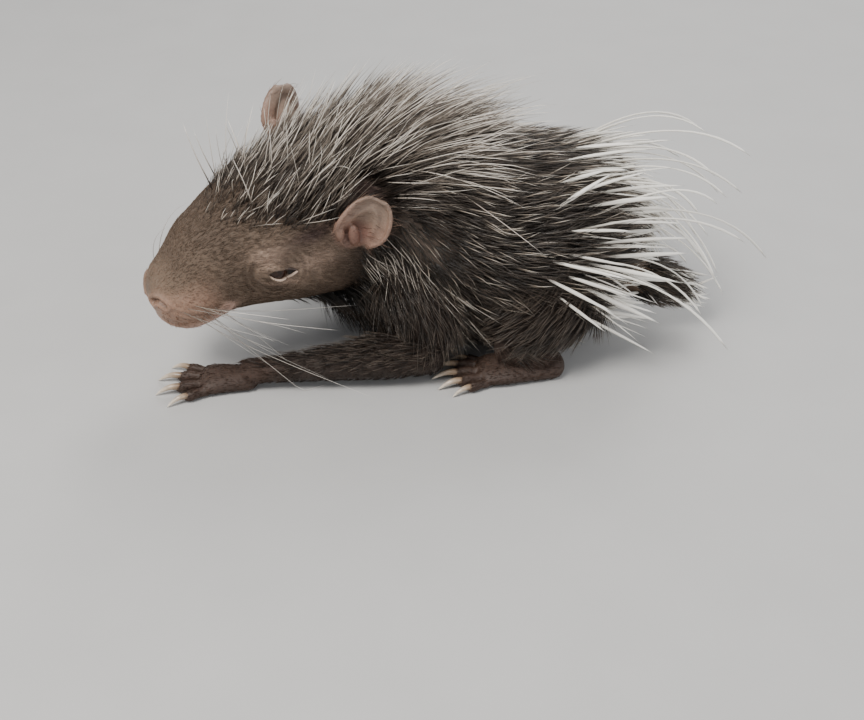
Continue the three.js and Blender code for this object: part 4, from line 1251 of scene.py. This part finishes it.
for label, many, steps, long, rise, radius, stray, paint in (
        ("under", 2700, 3, (4, 17), 38, 0.15, 26, "brown"),
        ("bristles", 1500, 4, (4.5, 25), 46, 0.18, 26, "mane"),
        ("white", 400, 4, (6, 30), 50, 0.19, 34, "white")):
    field(f"crown_{label}", head, many, trunk_only(crown_density), paint, steps, lambda s, a, f: dict(
        length=mix(*long, ramp(s, 30, 92)), rise=mix(rise - 8, rise, ramp(s, 40, 80)),
        radius=radius * mix(0.65, 1, ramp(s, 36, 70)), fan=mix(-58, -8, ramp(s, 72, 100)), stray=stray,
        settle=14, vary=0.4), slot="mane", clump=(1.8, 0.35))

found = planted(random.uniform(40, 78, 34), random.uniform(-40, 40, 34))
hair = groomed(found, 24, 70, 0.24, fan=-20, stray=70, settle=12, curl=0.35, vary=0.35)
coat("forehead_strays", hair, head, "white", 6, slot="mane")


# The mane over nape and shoulders: dark below, long white bristles above
def mane_density(s, a, f):
    return (s > 90) * fall(a, 58, 76) * (1 - bare_patch(f["root"])) * fall(s, 124, 138)


def mane_crest(s, a, f):
    return mane_density(s, a, f) * fall(a, 28, 52) * fall(s, 106, 122)


def mane_groom(long, radius, stray, settle, vary):
    return lambda s, a, f: dict(
        length=long * (1 - 0.28 * ramp(s, 116, 136)), rise=mix(46, 26, ramp(s, 94, 132)), radius=radius,
        fan=-8, stray=stray, settle=settle, vary=vary)


# Sides of the neck: bristles that hang below the ear and turn back behind it
def side_density(s, a, f):
    return (s > 78) * ramp(a, 52, 70) * fall(a, 122, 142) * (1 - 0.9 * ramp(s, 116, 132)) * (s < 138)


def side_below(s, a, f):
    return side_density(s, a, f) * ramp(a, mix(74, 92, ramp(s, 90, 116)), mix(86, 108, ramp(s, 90, 116)))


def side_groom(long, radius):
    def measures(s, a, f):
        turn = mix(58, 12, ramp(s - 0.5 * (a - 80), 88, 118)) * ramp(a, 48, 90)
        return dict(length=long * mix(0.7, 1, ramp(s, 80, 100)), rise=mix(28, 20, ramp(s, 90, 120)),
                    radius=radius, fan=turn * 90 / a, stray=26, settle=18, droop=0.2, curl=0.2)
    return measures


MANE_FIELDS = (  # name, how many on head and body, paint, steps, density, groom
    ("under", (460, 1500), "brown", 3, mane_density, mane_groom(19, 0.17, 20, 16, 0.25)),
    ("grey", (130, 270), "mane", 5, mane_crest, mane_groom(30, 0.17, 26, 26, 0.4)),
    ("white", (60, 130), "white", 5, mane_crest, mane_groom(37, 0.2, 26, 26, 0.4)),
    ("tipped", (20, 200), "spine", 5, mane_density, mane_groom(21, 0.24, 20, 16, 0.25)),
)
NECK_FIELDS = (
    ("under", (460, 900), "dark", 3, side_density, side_groom(12, 0.17)),
    ("grey", (220, 320), "mane", 4, side_below, side_groom(19, 0.14)),
    ("white", (140, 180), "white", 4, side_below, side_groom(23, 0.14)),
    ("tipped", (50, 190), "spine", 4, side_density, side_groom(18, 0.22)),
)
for place, fields, clump in (("mane", MANE_FIELDS, (2.6, 0.35)), ("neck", NECK_FIELDS, (2.4, 0.35))):
    for part in (head, body):
        for label, many, paint, steps, density, groom in fields:
            field(f"{place}_{label}_{part.name}", part, many[part is body], trunk_only(density), paint, steps,
                  groom, slot="mane", clump=clump)


# Throat and belly
def throat_density(s, a, f):
    low, high = [mix(*edge, ramp(s, 56, 86)) for edge in ((126, 106), (146, 126))]
    return ramp(s, 42, 60) * ramp(a, low, high) * (s < 125)


for part, many in ((head, 900), (body, 600)):
    field(f"throat_{part.name}", part, many, trunk_only(throat_density), "dark", 4, lambda s, a, f: dict(
        length=mix(5, 22, ramp(s, 43, 68)), rise=mix(20, 58, ramp(s, 46, 72)), radius=0.17, stray=34,
        settle=10, droop=0.9), slot="mane", clump=(2.6, 0.45))
field("belly_hair", body, 1500, trunk_only(lambda s, a, f: ramp(a, 116, 136) * (s > 118)), "dark", 3,
      lambda s, a, f: dict(length=7, rise=18, radius=0.15, fan=10, stray=24, settle=12), clump=(2.6, 0.4))


# Back and flanks: dark hair and fine spines with pale tips
def back_density(s, a, f):
    return ramp(s, 112, 130) * fall(a, 120, 140)


def back_fan(a):
    return (-14 * ramp(a, 10, 40) * fall(a, 60, 95) + 22 * ramp(a, 84, 125)) * 90 / np.maximum(a, 45)


for label, many, steps, long, rise, radius, paint in (
        ("underhair", 7600, 3, (12, 14), 22, 0.16, "dark"),
        ("bristles", 2900, 4, (19, 15), 24, 0.2, "bristle"),
        ("spines", 780, 4, (20, 17), 26, 0.26, "spine")):
    field(f"back_{label}", body, many, trunk_only(back_density), paint, steps, lambda s, a, f: dict(
        length=mix(*long, ramp(a, 60, 110)), rise=mix(rise, 13, ramp(a, 60, 110)), radius=radius,
        fan=back_fan(a), stray=24, settle=8), clump=(2.4, 0.35))


# Rump: white spindle-shaped quills, thin ones between them and long ones that bend down
def quill_density(s, a, f):
    edge = mix(84, 118, ramp(s, 170, 188))
    return ramp(s, 158, 172) * fall(s, 194, 198) * fall(a, edge, edge + 12)


def quill_fan(a):
    return mix(-24, 18, ramp(a, 25, 105)) * 90 / np.maximum(a, 45)


def quill_groom(long, rise, **more):
    return lambda s, a, f: dict(length=mix(*long, ramp(s, 164, 184)), rise=mix(*rise, ramp(s, 168, 193)),
                                fan=quill_fan(a), settle=8, curl=0.05, **more)


field("thin_quills", body, 170, trunk_only(quill_density), "quill", 5,
      quill_groom((27, 31), (26, 11), radius=0.34, stray=18, droop=0.12, sink=2.0),
      sides=4, girth="quill", flat=0.9)
field("rump_quills", body, 600, trunk_only(quill_density), "quill", 8,
      quill_groom((30, 34), (28, 12), radius=0.8, stray=11, droop=0.1, sink=2.6),
      room=6.0, sides=8, girth="quill", flat=0.85)

count = 26
station = random.uniform(168, 190, count)
share = np.linspace(-1, 1, count) + random.uniform(-0.06, 0.06, count)
angle = share * mix(72, 84, (station - 168) / 22)
hair = groomed(planted(station, angle, 0), mix(70, 58, ramp(station, 170, 188)),
               mix(40, 22, ramp(station, 168, 188)), 0.5, fan=quill_fan(np.abs(angle)), stray=15, settle=8,
               droop=random.uniform(0.9, 1.5, count), sink=2.4, vary=0.3)
hair["rise"] += 14 * ramp(-angle, 30, 72)
coat("long_quills", hair, body, "quill", 14, sides=6, girth="wand")

# Tail
field("tail_spines", body, 800, lambda s, a, f: (f["limb"] == 1) * ramp(s, 8, 12), "bristle", 4,
      lambda s, a, f: dict(length=11, rise=20, radius=0.2, fan=2, stray=24, settle=10))
field("tail_quills", body, 300, lambda s, a, f: (f["limb"] == 1) * ramp(s, 15, 20), "quill", 5,
      lambda s, a, f: dict(length=15, rise=10, radius=0.6, fan=2, stray=18, settle=4, sink=2.0), room=3.0,
      sides=6, girth="quill")


# Legs and feet
def height(f):
    return f["root"][:, 2]


def leg_fur(s, a, f):
    on_foot = f["limb"] >= 2
    return dict(length=np.where(on_foot, 1.8, mix(2.8, 8.0, ramp(height(f), 8, 24))),
                rise=np.where(on_foot, 11, 18), radius=0.11, stray=22, sink=0.4)


def leg_bristles(s, a, f):
    return dict(length=mix(6, 14, ramp(height(f), 8, 24)), rise=20, radius=0.16, stray=26, sink=0.6)


def toe_fur(s, a, f):
    return dict(length=1.7, rise=9, radius=0.08, stray=20, settle=4, sink=0.3)


for name in legs:
    part = skins[name]
    field(f"{name}_fur", part, 4800, lambda s, a, f: ramp(height(f), 0.8, 2.5) * (f["limb"] < 3), "velvet", 3,
          leg_fur, slot="foot_skin", clump=(1.6, 0.3))
    field(f"{name}_bristles", part, 1400, lambda s, a, f: ramp(height(f), 8, 20) * (f["limb"] < 2),
          "bristle", 4, leg_bristles, clump=(2.2, 0.35))
    field(f"{name}_toe_fur", part, 1000, lambda s, a, f: (f["limb"] >= 3) * ramp(height(f), 1.5, 3.0),
          "velvet", 2, toe_fur, slot="foot_skin")

# Whiskers, and a few long hairs over the eye
places = []
for side in SIDES.values():
    for at, turn, many in ((9, 90, 2), (11, 82, 3), (12, 100, 3), (15, 90, 3), (18, 100, 2)):
        for i in range(many):
            station = at + 1.8 * i + random.uniform(-0.4, 0.4)
            places.append((station, side * (turn + 2.5 * i + random.uniform(-2, 2))))
hair = groomed(planted(*np.array(places).T), 50, 38, 0.13, fan=20, stray=34, settle=30, droop=0.35,
               curl=0.25, sink=0.6)
hair["length"] *= random.uniform(0.5, 1.5, len(places))
coat("whiskers", hair, head, "whisker", 12, sides=4, slot="face")
places = [(44 + 2.5 * i + random.uniform(-1, 1), side * (40 - 3 * i))
          for side in SIDES.values() for i in range(4)]
hair = groomed(planted(*np.array(places).T), 17, 48, 0.1, fan=-10, stray=30, settle=20, droop=0.1,
               curl=0.2, sink=0.6)
coat("brow_whiskers", hair, head, "whisker", 8, sides=4, slot="face")


# Floor, light and camera

mesh = bpy.data.meshes.new("floor")
mesh.from_pydata([(-3, -3, 0), (3, -3, 0), (3, 3, 0), (-3, 3, 0)], [], [(0, 1, 2, 3)])
mesh.materials.append(MATERIALS["floor"])
placed("floor", mesh)


def aimed(obj, place, target):
    obj.location = place
    obj.rotation_euler = (Vector(target) - Vector(place)).to_track_quat("-Z", "Y").to_euler()


for name, place, target, size, power, colour in (
        ("key", (-0.45, -0.5, 0.95), (-0.03, 0, 0.05), 0.42, 16, (1.0, 0.97, 0.93)),
        ("fill", (1.0, -0.15, 0.45), (0, 0, 0.05), 0.6, 4, (0.93, 0.96, 1.0)),
        ("catch", (0.33, -0.78, 0.31), (-0.1, -0.04, 0.05), 0.1, 1.2, (1.0, 1.0, 1.0)),
        ("rim", (0.25, 0.8, 0.8), (0, 0, 0.07), 0.5, 7, (1.0, 0.98, 0.95))):
    light = bpy.data.lights.new(name, "AREA")
    light.size, light.energy, light.color = size, power, colour
    aimed(placed(name, light), place, target)
world = bpy.data.worlds.new("studio")
world.use_nodes = True
world.node_tree.nodes["Background"].inputs["Color"].default_value = (0.72, 0.74, 0.78, 1)
world.node_tree.nodes["Background"].inputs["Strength"].default_value = 0.62
bpy.context.scene.world = world

camera = placed("camera", bpy.data.cameras.new("camera"))
camera.data.sensor_width = 36
camera.data.angle = math.radians(CAMERA_VIEW)
aimed(camera, CAMERA, CAMERA_TARGET)
bpy.context.scene.camera = camera
